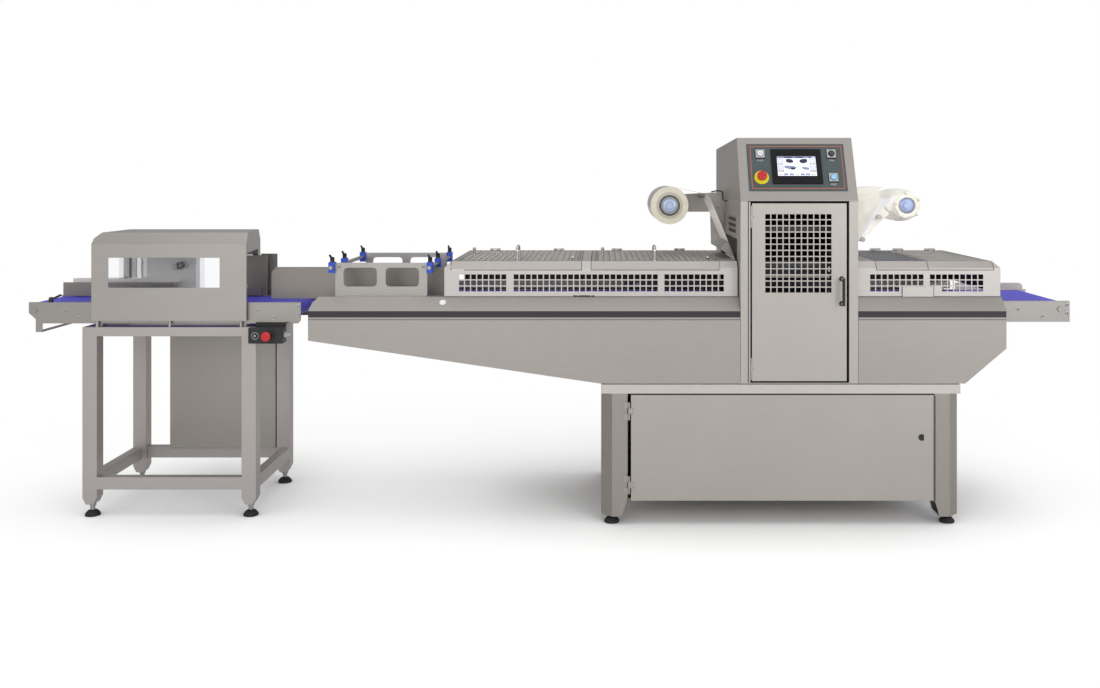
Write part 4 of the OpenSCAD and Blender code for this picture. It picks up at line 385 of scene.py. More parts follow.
# The CAD nodes that have one look each
for look, plain_nodes in (
        (stand_look, ("stand_frame",)),
        (body_look, ("hood",)),
        (panel_look, ("belly_pan", "body_panels")),
        (head_look, ("control_head",)),
        (door_look, ("tower_door",)),
        (case_look, ("stand_cabinet",)),
        (plate_look, ("control_plate",)),
        (gloss_black_look, ("touch_terminal",)),
        (chrome_look, ("button_bezels",)),
        (rubber_and_shade_look, ("door_seal",)),
        (bright_look, ("fixed_hinges", "reel_arms", "main_conveyor", "infeed_station",
                       "infeed_roller", "main_roller", "outfeed_roller")),
        (cast_look, ("press_frame", "lower_tool", "sealing_head", "front_gripper", "rear_gripper")),
        (leg_look, ("base_cabinet",)),
        (cabinet_look, ("cabinet_door",)),
        (paint_look, ("control_gear",)),
        (motor_look, ("drive_motors",)),
        (belt_look, ("main_belt", "outfeed_belt", "infeed_belt")),
        (clear_look, ("hood_window",)),
        (black_look, ("star_knob", "clamp_lever", "stop_button", "stand_button")),
        (red_look, ("panel_stop", "stand_stop")),
        (white_look, ("start_button",)),
        (lens_look, ("reset_button",))):
    for node in plain_nodes:
        dress(node, look)

# Where one look gives way to another on the other nodes, in metres from the sides that are named with them
SKIN = 0.0005
LEVEL = 0.95
LID_RISE = 0.145
LEAF_DROP = 0.0045
POST_RISE = 0.0025
LID_SKIN = 0.0002
LID_FRAME_DEPTH = 0.0265
TOWER_SKIN = 0.0015
REVEAL_FRONT = 0.0008
REVEAL_BACK = 0.03
OPENING_HALF = 0.201
SCRAP_SIDE = 0.2
RAIL_RISE = 0.5
KEYHOLE_RADIUS = 0.0065
FOOT_PAD_TOP = 0.0255
OUTFEED_RAIL_DEPTH = 0.17
INFEED_RAIL_DEPTH = 0.12
GRIP_HALF = 0.037
STAND_SIDE = -1
HOOD_SIDE = -2.4
HOOD_PLATE_DEPTH = 0.38
ROD_DROP = 0.019
CLAMP_HALF = 0.0221
GUIDE_PLATE_DEPTH = 0.037
BOX_WIDTH = 0.1411
GLAND_DEPTH = 0.05
BOX_DEPTH = 0.0562
DISC_DEPTH = 0.0165
DISC_RADIUS = 0.037
CORE_RADIUS = 0.05
MANDREL_REAR = 0.18

tower_mid = middle("tower_column")
tower_front = low("tower_column").y
lid_top = low("left_guard").z + LID_RISE


def dress_guard(node):
    """The guard's inside is darkened with painted shade below the leaves of its lids' hinges."""
    looks_in = inner_faces(node)
    dress(node, guard_look, (inner_shade_look, lambda c, n: c.z < lid_top - LEAF_DROP and looks_in(c, n)))


def dress_lids():
    """The lids' roofs are darker in patches of painted shade; the small lid is a clear sheet in a steel
    frame.
    """
    def is_roof(c, n):
        return n.z > LEVEL and c.z < lid_top + POST_RISE

    frame_back = low("right_guard").y + LID_FRAME_DEPTH
    dress("right_lid_1", clear_look, (lid_look, lambda c, n: c.y < frame_back or c.z > lid_top + LID_SKIN))
    dress("right_lid_2", lid_look, (roof_look, is_roof))
    for node in ("left_lid_1", "left_lid_2"):
        dress(node, lid_look, (chrome_look, above(lid_top + POST_RISE)), (roof_look, is_roof))


def dress_reel(node, film, disc, wound):
    """The disc and the mandrel's rear end stand out of the film, whose round side may take a darker look of
    painted shade.
    """
    axis = middle(node)
    disc_back = low(node).y + DISC_DEPTH
    dress(node, film, (wound, lambda c, n: abs(n.y) < 0.5 and off_axis(c, axis) > CORE_RADIUS),
          (disc, lambda c, n: c.y < disc_back and off_axis(c, axis) < DISC_RADIUS),
          (bright_look, lambda c, n: c.y > axis.y + MANDREL_REAR))


def dress_rails(node, depth):
    """The heads of the screws stand in front of the conveyor's rails."""
    rail_front = tower_front + depth - SKIN
    dress(node, bright_look, (chrome_look, lambda c, n: c.y < rail_front))


dress_guard("left_guard")
dress_guard("right_guard")
dress_lids()
dress_reel("film_reel", film_look, disc_look, film_side_shade_look)
dress_reel("scrap_rewinder", scrap_look, scrap_disc_look, scrap_look)
dress_rails("outfeed_conveyor", OUTFEED_RAIL_DEPTH)
dress_rails("infeed_conveyor", INFEED_RAIL_DEPTH)

# The column is darkened inside with painted shade, and rubber lines the edges of its door's opening
looks_in = inner_faces("tower_column")
first, last = tower_front + REVEAL_FRONT, tower_front + REVEAL_BACK
dress("tower_column", door_look,
      (inner_shade_look, lambda c, n: c.y > tower_front + TOWER_SKIN and looks_in(c, n)),
      (rubber_and_shade_look, lambda c, n: first < c.y < last and abs(c.x - tower_mid.x) < OPENING_HALF
       and abs(n.x) > 0.5))

# Blue clamp blocks sit on the rods, with black levers on them
rod_z = high("infeed_station").z - ROD_DROP
block_back = low("lane_guide").y + GUIDE_PLATE_DEPTH
levers = (black_look, above(rod_z + CLAMP_HALF))
dress("end_clamps", blue_look, levers)
dress("lane_guide", guide_look,
      (blue_look, lambda c, n: c.z > rod_z - CLAMP_HALF and c.y > block_back), levers)

# A black box on a steel plate, with a grey gland at its right
corner = low("switch_box")
box_right, gland_back, box_back = corner.x + BOX_WIDTH, corner.y + GLAND_DEPTH, corner.y + BOX_DEPTH
dress("switch_box", black_look, (grey_look, lambda c, n: c.x > box_right and c.y < gland_back),
      (bright_look, lambda c, n: c.y > box_back))

# The other nodes with two looks
handle_z = middle("door_handle").z
lock_mid = middle("cabinet_lock")
# The webs glow a little, painted light
dress("film_webs", web_look, (scrap_web_look, lambda c, n: c.x > tower_mid.x + SCRAP_SIDE))
# The frame's upper rails take the lighter look, a painted highlight
dress("base_frame", leg_look, (rail_highlight_look, above(low("base_frame").z + RAIL_RISE)))
dress("cabinet_lock", black_look, (chrome_look, lambda c, n: off_axis(c, lock_mid) < KEYHOLE_RADIUS))
dress("levelling_feet", rubber_and_shade_look, (bright_look, above(FOOT_PAD_TOP)))
dress("door_handle", black_look, (chrome_look, lambda c, n: abs(c.z - handle_z) > GRIP_HALF))
dress("stop_collars", yellow_look, (black_look, lambda c, n: c.x < tower_mid.x + STAND_SIDE))
# The lane plates' far end under the hood takes the glowing pale look, painted light
dress("lane_plates", guide_look, (hood_plate_look, lambda c, n: c.x < tower_mid.x + HOOD_SIDE
                                  and c.y > tower_front + HOOD_PLATE_DEPTH))

# Places and forms of the small pieces, in millimetres

TOWER = Vector((tower_mid.x, tower_front, 0))
COLUMN_TOP = 1321
FACE_TILT = math.atan2(125, 262)
BAND_TILT = math.atan2(52, 57)
BOX_FACES = ((0, 1, 3, 2), (4, 6, 7, 5), (0, 4, 5, 1), (2, 3, 7, 6), (0, 2, 6, 4), (1, 5, 7, 3))


def at(x, y, z):
    """A place in millimetres from the tower's centre line, the body's front plane and the floor."""
    return TOWER + Vector((x, y, z)) / 1000


def sides(node):
    """The sides and the middle of a node's box, in the same millimetres."""
    start, end = (1000 * (corner - TOWER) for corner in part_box(node))
    return SimpleNamespace(x0=start.x, x1=end.x, y0=start.y, y1=end.y, z0=start.z, z1=end.z,
                           mid=(start + end) / 2)


def front(x, y, z):
    """The frame of a place on a face that looks to the front: along X, up, and out."""
    return Matrix.Translation(at(x, y, z)) @ Matrix.Rotation(math.radians(90), 4, "X")


def face(x, up, out=0.0):
    """The same on the control head's leaning face, with the height along the slope."""
    turned = Matrix.Rotation(math.radians(90) - FACE_TILT, 4, "X")
    return Matrix.Translation(at(0, 0, COLUMN_TOP)) @ turned @ Matrix.Translation(Vector((x, up, out)) / 1000)


def top(x, y, z):
    """The frame of a place on a face that looks up."""
    return Matrix.Translation(at(x, y, z))


def beside(x, y, z, way):
    """The frame of a place on a face that looks to the right, way 1, or to the left, way -1."""
    return Matrix.Translation(at(x, y, z)) @ Matrix.Rotation(math.radians(90 * way), 4, "Y")


def ring_of(count, radius):
    return [(radius * math.cos(math.tau * i / count), radius * math.sin(math.tau * i / count))
            for i in range(count)]


def box_of(x0, x1, y0, y1):
    return [(x0, y0), (x1, y0), (x1, y1), (x0, y1)]


def square(half):
    return box_of(-half, half, -half, half)


def rounded_box(x0, x1, y0, y1, r, steps=5):
    centres = ((x1 - r, y0 + r, -90), (x1 - r, y1 - r, 0), (x0 + r, y1 - r, 90), (x0 + r, y0 + r, 180))
    outline = []
    for cx, cy, start in centres:
        for i in range(steps + 1):
            angle = math.radians(start + 90 * i / steps)
            outline.append((cx + r * math.cos(angle), cy + r * math.sin(angle)))
    return outline


def new_object(name, data):
    """An object made of some data, linked into the scene."""
    made = bpy.data.objects.new(name, data)
    bpy.context.scene.collection.objects.link(made)
    return made


def add_piece(name, mesh, looks, body):
    """Puts a mesh into the scene as a piece that rides on a body, with the given looks as its materials."""
    for look in looks:
        mesh.materials.append(look.material)
    piece = new_object(name, mesh)
    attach(piece, body)
    return piece


class Form:
    """A mesh put together from turned, folded and swept forms in millimetres, which becomes one piece."""

    def __init__(self, name, *looks):
        self.name = name
        self.looks = looks
        self.work = bmesh.new()

    def put(self, points, faces, spot, look=0, smooth=False):
        verts = [self.work.verts.new(spot @ (Vector(point) / 1000)) for point in points]
        for face_points in faces:
            made = self.work.faces.new([verts[i] for i in face_points])
            made.material_index = look
            made.smooth = smooth
        return self

    def lofted(self, rings, spot, look=0, smooth=False):
        """Joins closed rings of as many points, one after the other, and closes both ends."""
        count = len(rings[0])
        points = [point for ring in rings for point in ring]
        faces = [tuple(reversed(range(count))), tuple(range(len(points) - count, len(points)))]
        for start in range(0, len(points) - count, count):
            for i in range(start, start + count):
                j = start + (i - start + 1) % count
                faces.append((i, j, j + count, i + count))
        return self.put(points, faces, spot, look, smooth)

    def turned(self, profile, spot, look=0, steps=32):
        """Turns a profile of (radius, height) about the frame's Z."""
        rings = [[(x, y, height) for x, y in ring_of(steps, radius)] for radius, height in profile]
        return self.lofted(rings, spot, look, True)

    def raised(self, outline, height, spot, chamfer=0.0, look=0, base=0.0):
        """Raises an outline along the frame's Z, with a chamfer round its top."""
        rings = [[(x, y, base) for x, y in outline], [(x, y, base + height - chamfer) for x, y in outline]]
        if chamfer:
            cx = sum(x for x, y in outline) / len(outline)
            cy = sum(y for x, y in outline) / len(outline)
            ring = []
            for x, y in outline:
                pull = max(0.0, 1 - 1.3 * chamfer / math.hypot(x - cx, y - cy))
                ring.append((cx + (x - cx) * pull, cy + (y - cy) * pull, base + height))
            rings.append(ring)
        return self.lofted(rings, spot, look)

    def slab(self, x_sides, y_sides, z_sides, look=0):
        """A plate or bar between two sides along each axis."""
        corners = [(x, y, z) for x in x_sides for y in y_sides for z in z_sides]
        return self.put(corners, BOX_FACES, Matrix.Translation(TOWER), look)

    def band(self, outer, inner, spot, out0, out1, look=0):
        """A flat frame between two outlines of as many points, from one height to another."""
        count = len(outer)
        points = [(x, y, out) for ring in (outer, inner) for out in (out0, out1) for x, y in ring]
        low_outer, high_outer, low_inner, high_inner = 0, count, 2 * count, 3 * count
        faces = []
        for i in range(count):
            j = (i + 1) % count
            faces.append((high_outer + i, high_outer + j, high_inner + j, high_inner + i))
            faces.append((low_outer + i, low_outer + j, high_outer + j, high_outer + i))
            faces.append((low_inner + j, low_inner + i, high_inner + i, high_inner + j))
        return self.put(points, faces, spot, look)

    def ring(self, outer, inner, spot, out0, out1, look=0, steps=40):
        """A round band between two radii."""
        return self.band(ring_of(steps, outer), ring_of(steps, inner), spot, out0, out1, look)

    def swept(self, path, radius, look=0, steps=12):
        """A round rod along places in millimetres, with rounded ends."""
        points = [Vector(point) for point in path]
        rings = []
        side = (points[1] - points[0]).orthogonal()
        for i, point in enumerate(points):
            run = (points[min(i + 1, len(points) - 1)] - points[max(i - 1, 0)]).normalized()
            side = (side - run * side.dot(run)).normalized()
            other = run.cross(side)
            ends = [(0.0, 1.0)]
            if i == 0:
                ends = [(-1.0, 0.25), (-0.75, 0.75), (0.0, 1.0)]
            elif i == len(points) - 1:
                ends = [(0.0, 1.0), (0.75, 0.75), (1.0, 0.25)]
            for shift, share in ends:
                centre = point + run * shift * radius / 2
                outline = ring_of(steps, radius)
                rings.append([centre + side * x * share + other * y * share for x, y in outline])
        return self.lofted(rings, Matrix.Translation(TOWER), look, True)

    def screw(self, spot, dia):
        """A button-head screw in the first look, with its hexagon recess drawn flat in the second, a dark
        look as painted shade.
        """
        r = dia / 2
        self.turned([(r, 0), (r, r * 0.2), (r * 0.92, r * 0.42), (r * 0.7, r * 0.62), (r * 0.5, r * 0.68)],
                    spot, 0, steps=20)
        return self.raised(ring_of(6, r * 0.42), 0.15, spot, 0.0, 1, base=r * 0.66)

    def bolt(self, spot, dia):
        """A hexagon head on a washer, its corners turned off."""
        r = dia / 2
        washer = [(r * 1.25, 0), (r * 1.25, r * 0.16), (r * 1.18, r * 0.22), (r * 0.9, r * 0.22)]
        self.turned(washer, spot, 0, 24)
        return self.raised(ring_of(6, r), r * 0.72, spot, r * 0.12, 0, base=r * 0.2)

    def finish(self, body, slot):
        bmesh.ops.recalc_face_normals(self.work, faces=self.work.faces)
        mesh = bpy.data.meshes.new(self.name)
        self.work.to_mesh(mesh)
        self.work.free()
        return add_piece(self.name, mesh, self.looks, body)


tower = sides("tower_column")
guard_1 = sides("left_guard")
guard_2 = sides("right_guard")
station = sides("infeed_station")
guide = sides("lane_guide")
infeed = sides("infeed_conveyor")
outfeed = sides("outfeed_conveyor")
switch = sides("switch_box")
web = sides("film_webs")
film_axis = sides("film_reel").mid
scrap_axis = sides("scrap_rewinder").mid
DECK_Z = guard_1.z0

# The control plate, in millimetres across and up the leaning face
PLATE_OUT = 2.0
LINE_BOX = (-189.5, 193, 53.5, 250)
LINE_WIDTH = 3.4
BUTTON_X = 148
UPPER_BUTTON_UP = 212.6
LOWER_BUTTON_UP = 103.6
BUTTONS = {"start": (-BUTTON_X, UPPER_BUTTON_UP), "stop": (BUTTON_X, UPPER_BUTTON_UP),
           "reset": (BUTTON_X, LOWER_BUTTON_UP)}
LABEL_DROP = 32.6
LETTER_HEIGHT = 9.5
LETTER_RISE = 0.1
CAP_PROFILE = [(11.9, 12.2), (11.9, 13.1), (11.2, 13.7), (10.2, 13.7), (9.2, 13.2), (0.2, 13.1)]


def make_label(button):
    """The button's word under it, in plain letters."""
    x, up = BUTTONS[button]
    name = "label_" + button
    curve = bpy.data.curves.new(name, "FONT")
    curve.body = button.upper()
    curve.size = LETTER_HEIGHT / 1000
    curve.align_x = "CENTER"
    curve.extrude = LETTER_RISE / 2000
    letters = new_object(name + "_source", curve)
    mesh = bpy.data.meshes.new_from_object(letters.evaluated_get(bpy.context.evaluated_depsgraph_get()))
    bpy.data.objects.remove(letters)
    bpy.data.curves.remove(curve)
    mesh.transform(face(x, up - LABEL_DROP, PLATE_OUT + LETTER_RISE))
    mesh.materials.clear()
    add_piece(name, mesh, [print_white_look], "machine")


def make_cap(button, body, face_look, ring_look, slot):
    """A dished face with a rim, and a ring mark on it."""
    form = Form(button + "_cap", face_look, ring_look)
    form.turned(CAP_PROFILE, face(*BUTTONS[button]), 0, 40)
    form.ring(5.6, 3.9, face(*BUTTONS[button]), 13.1, 13.35, 1, 28)
    form.finish(body, slot)


# The thin line round the plate
x0, x1, up0, up1 = LINE_BOX
inner = box_of(x0 + LINE_WIDTH, x1 - LINE_WIDTH, up0 + LINE_WIDTH, up1 - LINE_WIDTH)
line = Form("plate_line", frame_line_look)
line.band(box_of(*LINE_BOX), inner, face(0, 0), PLATE_OUT, PLATE_OUT + 0.3)
line.finish("machine", "teal_paint")

for button in BUTTONS:
    make_label(button)
make_cap("start", "start_button", white_look, mark_grey_look, "white_plastic")
make_cap("stop", "stop_button", black_look, mark_grey_look, "black_plastic")
make_cap("reset", "reset_button", lens_look, white_look, "blue_lens")

# A raised inner ring in each bezel, and a dark joint round it
form = Form("bezel_rings", bright_look, rubber_and_shade_look)
for place in BUTTONS.values():
    form.ring(15.6, 12.6, face(*place), 7.9, 9.0, 0, 36)
    form.band(square(20.5), square(18.6), face(*place), PLATE_OUT, 3.2, 1)
form.finish("machine", "chrome")

# The screen: a picture of trays between two columns of keys, in layers over the glass
GLASS_OUT = 8.05
LAYER = 0.15
PANE_THICK = 0.12
WHITE, GREY, DARK, WARM, GLASS = range(5)
SCREEN_HALF = 80
TITLE_UP = (190, 199.5)
TITLE_MARKS = ((-50, -14, DARK), (-6, 28, DARK), (52, 60, DARK), (66, 78, WHITE))
KEY_ROWS = 4
KEY_TOP_UP = 181
KEY_PITCH = 16
KEY_COLUMNS = ((-78, -54), (54, 78))
KEY_HALF = 6
FOOT_KEYS = 7
FOOT_KEY_PITCH = 22.6
FOOT_KEY_WIDTH = 18
TRAYS = (((-44, 186), (-30, 188), (-16, 184), (-12, 172), (-26, 168), (-42, 172)),
         ((14, 184), (30, 188), (46, 186), (44, 172), (28, 166), (12, 172)))
TABLES = ((((-50, 158), (-8, 154), (2, 146), (-30, 140), (-52, 146)), GREY),
          (((20, 152), (50, 148), (50, 136), (24, 140)), GREY),
          (((-28, 148), (-8, 148), (-6, 140), (-22, 137)), DARK))


def make_screen():
    form = Form("screen_picture", screen_white, screen_grey, screen_dark, screen_warm, gloss_black_look)

    def shape(points, look, layer):
        form.raised(points, PANE_THICK, face(0, 0), 0.0, look, base=GLASS_OUT + layer * LAYER)

    def pane(x0, x1, up0, up1, look, layer):
        shape(box_of(x0, x1, up0, up1), look, layer)

    pane(-SCREEN_HALF - 2.5, SCREEN_HALF + 2.5, 105, 212, GLASS, 0)
    pane(-SCREEN_HALF, SCREEN_HALF, 110, TITLE_UP[1], WHITE, 1)
    pane(-SCREEN_HALF, SCREEN_HALF, *TITLE_UP, GREY, 2)
    for x0, x1, look in TITLE_MARKS:
        pane(x0, x1, TITLE_UP[0] + 2.5, TITLE_UP[1] - 2.5, look, 3)
    for row in range(KEY_ROWS):
        up = KEY_TOP_UP - row * KEY_PITCH
        for x0, x1 in KEY_COLUMNS:
            pane(x0, x1, up - KEY_HALF, up + KEY_HALF, GREY, 2)
            pane(x0 + 2, x1 - 2, up - KEY_HALF + 1.8, up + KEY_HALF - 1.8, WARM if row % 2 else WHITE, 3)
    for points in TRAYS:
        shape(points, DARK, 2)
    for points, look in TABLES:
        shape(points, look, 2)
    for i in range(FOOT_KEYS):
        x0 = KEY_COLUMNS[0][0] + i * FOOT_KEY_PITCH
        pane(x0, x0 + FOOT_KEY_WIDTH, 112.5, 121, GREY if i % 3 else WARM, 2)
    form.finish("machine", "black_plastic")


make_screen()

# The emergency stops: a bright ring and three turn marks on each head, which stands above its collar
SWITCH_MID_Z = switch.z0 + 32
STOP_PLACE = (switch.x0 + 79, switch.y0, SWITCH_MID_Z)
PUSH_PLACE = (switch.x0 + 28.2, switch.y0, SWITCH_MID_Z)
HEAD_RISE = 26.2
TURN_MARK = ((7.0, -2.2), (11.0, 0), (7.0, 2.2))


def make_stop_mark(body, spot, collar):
    form = Form(body + "_mark", red_look, red_mark_look)
    head = collar + HEAD_RISE
    form.ring(14.5, 12.8, spot, head, head + 0.4)
    for turn in (0, 120, 240):
        turned = spot @ Matrix.Rotation(math.radians(turn), 4, "Z")
        form.raised(TURN_MARK, 0.25, turned, 0.0, 1, base=head + 0.1)
    form.finish(body, "red_plastic")


make_stop_mark("panel_stop", face(-BUTTON_X, LOWER_BUTTON_UP), 7)
make_stop_mark("stand_stop", front(*STOP_PLACE), 5)

# Painted shadow in the gaps: dark lines at the guards' feet, slots under the left guard, strips beside the
# tower, lines at the hatch and beside the cabinet's door
SHADOW_LINE_THICK = 0.4
FOOT_SLOTS = ((-924, -907), (-903, -853), (-849, -836))
HATCH_SIDES = (434, 564)
DOOR_EDGE_WIDTH = 3.4

form = Form("gap_shadows", gap_shadow_look, rubber_and_shade_look)
foot_y = guard_1.y0
for guard in (guard_1, guard_2):
    form.slab((guard.x0, guard.x1), (foot_y - 1.8, foot_y + 0.6), (DECK_Z, DECK_Z + 1.6))
for x0, x1 in FOOT_SLOTS:
    form.raised(rounded_box(x0, x1, foot_y - 2.1, foot_y + 0.2, 1.0), 3.6, top(0, 0, 0), 0.0, 1,
                base=DECK_Z + 2)
for x in (tower.x0 - 1.1, tower.x1 + 0.1):
    form.slab((x, x + 1), (0.3 - SHADOW_LINE_THICK, 0.3), (tower.z0 + 1, 866), 1)
for x in HATCH_SIDES:
    form.slab((x, x + 2.2), (guard_2.y0 - 0.5, guard_2.y0), (DECK_Z + 1, 967))
cabinet = sides("cabinet_door")
face_y = cabinet.y0 + 3
form.slab((cabinet.x1 + 0.8, cabinet.x1 + 4.6), (face_y - SHADOW_LINE_THICK, face_y), (cabinet.z0, cabinet.z1))
form.finish("machine", "black_rubber")

# Rubber shows round the tower's door, on all sides but its foot
door = sides("tower_door")
x0, x1, z0, z1 = door.x0 - 7, door.x1 + 7, door.z0 - 6, door.z1 + 7
outer = box_of(x0 - DOOR_EDGE_WIDTH, x1 + DOOR_EDGE_WIDTH, z0, z1 + DOOR_EDGE_WIDTH)
form = Form("door_edge", rubber_and_shade_look)
form.band(outer, box_of(x0, x1, z0, z1), front(0, 0, 0), 0.0, 0.5)
form.finish("machine", "black_rubber")

# Folded sheets: dark shields of painted shade behind the film slots' upper part and over the guards' ends,
# and lips
SHIELD_INSET = 3.6
SHIELD_THICK = 1.5
SLOT_SIDES = (113, 711)
SLOT_TOP = 1164
SLOT_SILLS = ((-1, 1092), (1, 1072))
VENTS = ((158, 278), (283, 403))
VENT_ROWS = 3
VENT_Z = 1181
VENT_PITCH = 25
VENT_HEIGHT = 19
VENT_LIP = 4
GUARD_END_TOP = 1041
GUARD_END_INSET = 41
GUIDE_PLATE_HEIGHT = 130
LIP_OVERLAP = 0.2

# Dark sheets of painted shade behind the slots, and a dark sheet of painted shade behind the vents
form = Form("tower_shields", inner_shade_look, rubber_and_shade_look)
for way, sill in SLOT_SILLS:
    outside = tower.x1 - SHIELD_INSET
    form.slab(sorted((way * outside, way * (outside - SHIELD_THICK))), SLOT_SIDES, (sill, SLOT_TOP))
form.slab((tower.x0 + SHIELD_INSET, tower.x0 + SHIELD_INSET + 1.2), (VENTS[0][0] - 8, VENTS[1][1] + 9),
          (VENT_Z - 9, VENT_Z + 79), 1)
form.finish("machine", "body_steel")

# Dark bars of painted shade over the vents on the tower's left side, each under a bright lip
form = Form("vent_louvres", inner_shade_look, door_look)
for vent in VENTS:
    for row in range(VENT_ROWS):
        z0 = VENT_Z + row * VENT_PITCH
        z1 = z0 + VENT_HEIGHT
        form.slab((tower.x0 - 0.7, tower.x0 - 0.1), vent, (z0, z1), 0)
        form.slab((tower.x0 - 2.6, tower.x0 - 0.7), vent, (z1 - VENT_LIP, z1), 1)
form.finish("machine", "body_steel")

# A sheet in the outlet above the belt, lined on its inner side with painted shade, and a narrow cheek of
# painted shade at the inlet's front
form = Form("guard_shields", guard_look, inner_shade_look)
across = (guard_1.y0 + GUARD_END_INSET, guard_1.y1 - GUARD_END_INSET)
for x, thick, look in ((guard_2.x1 - 5, 1.4, 0), (guard_2.x1 - 6, 0.8, 1)):
    form.slab((x, x + thick), across, (DECK_Z + 12, GUARD_END_TOP), look)
form.slab((guard_1.x0 + 3.4, guard_1.x0 + 4.8), (across[0], across[0] + 15), (980, GUARD_END_TOP), 1)
form.finish("machine", "body_steel")

# The lane guide's folded top edge
foot = guide.z0 + GUIDE_PLATE_HEIGHT
form = Form("guide_lip", guide_look)
form.slab((guide.x0 + 15, guide.x1 - 1), (guide.y0 + 0.2, guide.y0 + 2.8), (foot + 0.1, foot + 6))
form.finish("lane_guide", "body_steel")

# The control head's folded foot, with a dark line of painted shadow under it
form = Form("head_lip", head_look, gap_shadow_look)
x0, x1 = tower.x0 - LIP_OVERLAP, tower.x1 + LIP_OVERLAP
form.raised(box_of(x0, x1, COLUMN_TOP, COLUMN_TOP + 4.5), 1.6, front(0, LIP_OVERLAP, 0), 0.3, 0)
form.raised(box_of(x0, x1, COLUMN_TOP - 1.2, COLUMN_TOP), 0.7, front(0, LIP_OVERLAP, 0), 0.0, 1)
form.finish("machine", "body_steel")

# The white plug on the sloped band
PLUG_PLACE = (-1460, 33.6, 902.7)
PLUG_PROFILE = [(13.5, -0.4), (13.5, 1.4), (12.6, 2.4), (10.6, 3.0), (7.6, 2.7), (7.0, 2.1), (0.3, 2.1)]


def make_trim(name, body, slot, look, profile, places, steps):
    """Copies of one turned form at some places of a body."""
    form = Form(name, look)
    for spot in places:
        form.turned(profile, spot, 0, steps)
    form.finish(body, slot)


make_trim("band_plug", "machine", "white_plastic", white_look, PLUG_PROFILE,
          [Matrix.Translation(at(*PLUG_PLACE)) @ Matrix.Rotation(BAND_TILT, 4, "X")], 40)

# Dark sockets in the heads of the screws, painted shade: their front, their places along the line, and their
# heights
ROLLER_Z = 859.7
SOCKET_RADIUS = 3.2
SOCKET_SPOTS = (
    (165.1, ((outfeed.x1 - 219, ROLLER_Z), (outfeed.x1 - 115, ROLLER_Z - 31),
             (outfeed.x1 - 11, ROLLER_Z + 17), (outfeed.x1 - 11, ROLLER_Z - 18))),
    (infeed.y0, ((infeed.x0 + 152, ROLLER_Z), (infeed.x0 + 210, ROLLER_Z - 28),
                 (infeed.x1 - 181, ROLLER_Z), (infeed.x1 - 113, ROLLER_Z - 28),
                 (infeed.x1 - 11, ROLLER_Z + 17), (infeed.x1 - 11, ROLLER_Z - 18))),
    (82.1, ((station.x0 + 37.5, 1044.5), (station.x1 - 37.5, 1044.5))),
    (428.1, ((-2854, 1036), (-2620, 1036))))

form = Form("screw_sockets", bright_look, rubber_and_shade_look)
for y, spots in SOCKET_SPOTS:
    for x, z in spots:
        form.raised(ring_of(6, SOCKET_RADIUS), 0.3, front(x, y, z), 0.0, 1)
form.finish("machine", "chrome")

# The reel arms' bolts, and the dark edge strip on the film side's flange
ARM_FRONT = 599.5
ARM_BOLTS = ((-266, 1337), (-266, 1277), (262, 1337), (262, 1277), (-325, 1318), (-432, 1300))
FLANGE_X = 244
FLANGE_BOLTS = ((578, 1280), (626, 1280), (578, 1325), (626, 1325))
BOLT_DIAMETER = 9
EDGE_STRIP = ((-298, 596, 1349), (-280, 596, 1353), (-258, 592, 1354), (-249, 586, 1351), (-247, 580, 1340),
              (-247, 576, 1322), (-247, 570, 1314), (-246, 540, 1311), (-244, 470, 1311))
STRIP_RADIUS = 3.2

form = Form("arm_bolts", bright_look, black_look)
for x, z in ARM_BOLTS:
    form.bolt(front(x, ARM_FRONT, z), BOLT_DIAMETER)
for y, z in FLANGE_BOLTS:
    for way in (-1, 1):
        form.bolt(beside(way * FLANGE_X, y, z, way), BOLT_DIAMETER)
form.swept(EDGE_STRIP, STRIP_RADIUS, 1)
form.finish("machine", "black_plastic")

# The reels' fronts: radii, heights, look and steps of the rings that show round each disc
REEL_FRONT = web.y0
# On the film's front, the ring in the core's dark look is painted shadow
FILM_RINGS = ((36, 32.8, 13.8, 15.4, 0, 64), (45.4, 36.4, 0.2, 3.7, 2, 72), (49.4, 45.2, 0.0, 0.8, 3, 72),
              (57.5, 49.2, 0.0, 0.5, 4, 72))
FILM_DISC = [(32.8, 13.9), (31.5, 14.5), (16.6, 14.5), (16.2, 14.2)]
SCRAP_RINGS = ((36, 33.2, 13.8, 15.4, 0, 64),)
SCRAP_DISC = [(33.2, 13.9), (32.0, 14.5), (16.6, 14.5), (16.2, 14.2)]
RODS = 5
FIRST_ROD = math.radians(-10)
ROD_PITCH = math.tau / RODS
ROD_CIRCLE = 53
ROD_REACH = 26
ROD_END = [(5.0, -3), (6.6, -1.5), (7.2, 1.5), (6.4, 5), (4.0, 7.2), (0.3, 8)]


def make_reel_face(name, body, slot, axis, looks, rings, disc, rods=0):
    """A disc with a bright rim, the rings round it, and the ends of the rods before it."""
    form = Form(name, *looks)
    spot = front(axis.x, REEL_FRONT, axis.z)
    for outer, inner, out0, out1, look, steps in rings:
        form.ring(outer, inner, spot, out0, out1, look, steps)
    form.turned(disc, spot, 1, 64)
    for i in range(rods):
        turn = FIRST_ROD + i * ROD_PITCH
        x, z = axis.x + ROD_CIRCLE * math.sin(turn), axis.z + ROD_CIRCLE * math.cos(turn)
        form.turned(ROD_END, front(x, REEL_FRONT - ROD_REACH, z), 2, 20)
    form.finish(body, slot)


make_reel_face("film_reel_face", "film_reel", "film", film_axis,
               (bright_look, disc_look, core_shadow_look, core_edge_look, first_turns_look), FILM_RINGS, FILM_DISC)
make_reel_face("scrap_reel_face", "scrap_rewinder", "aluminium", scrap_axis,
               (bright_look, scrap_disc_look, white_look), SCRAP_RINGS, SCRAP_DISC, RODS)

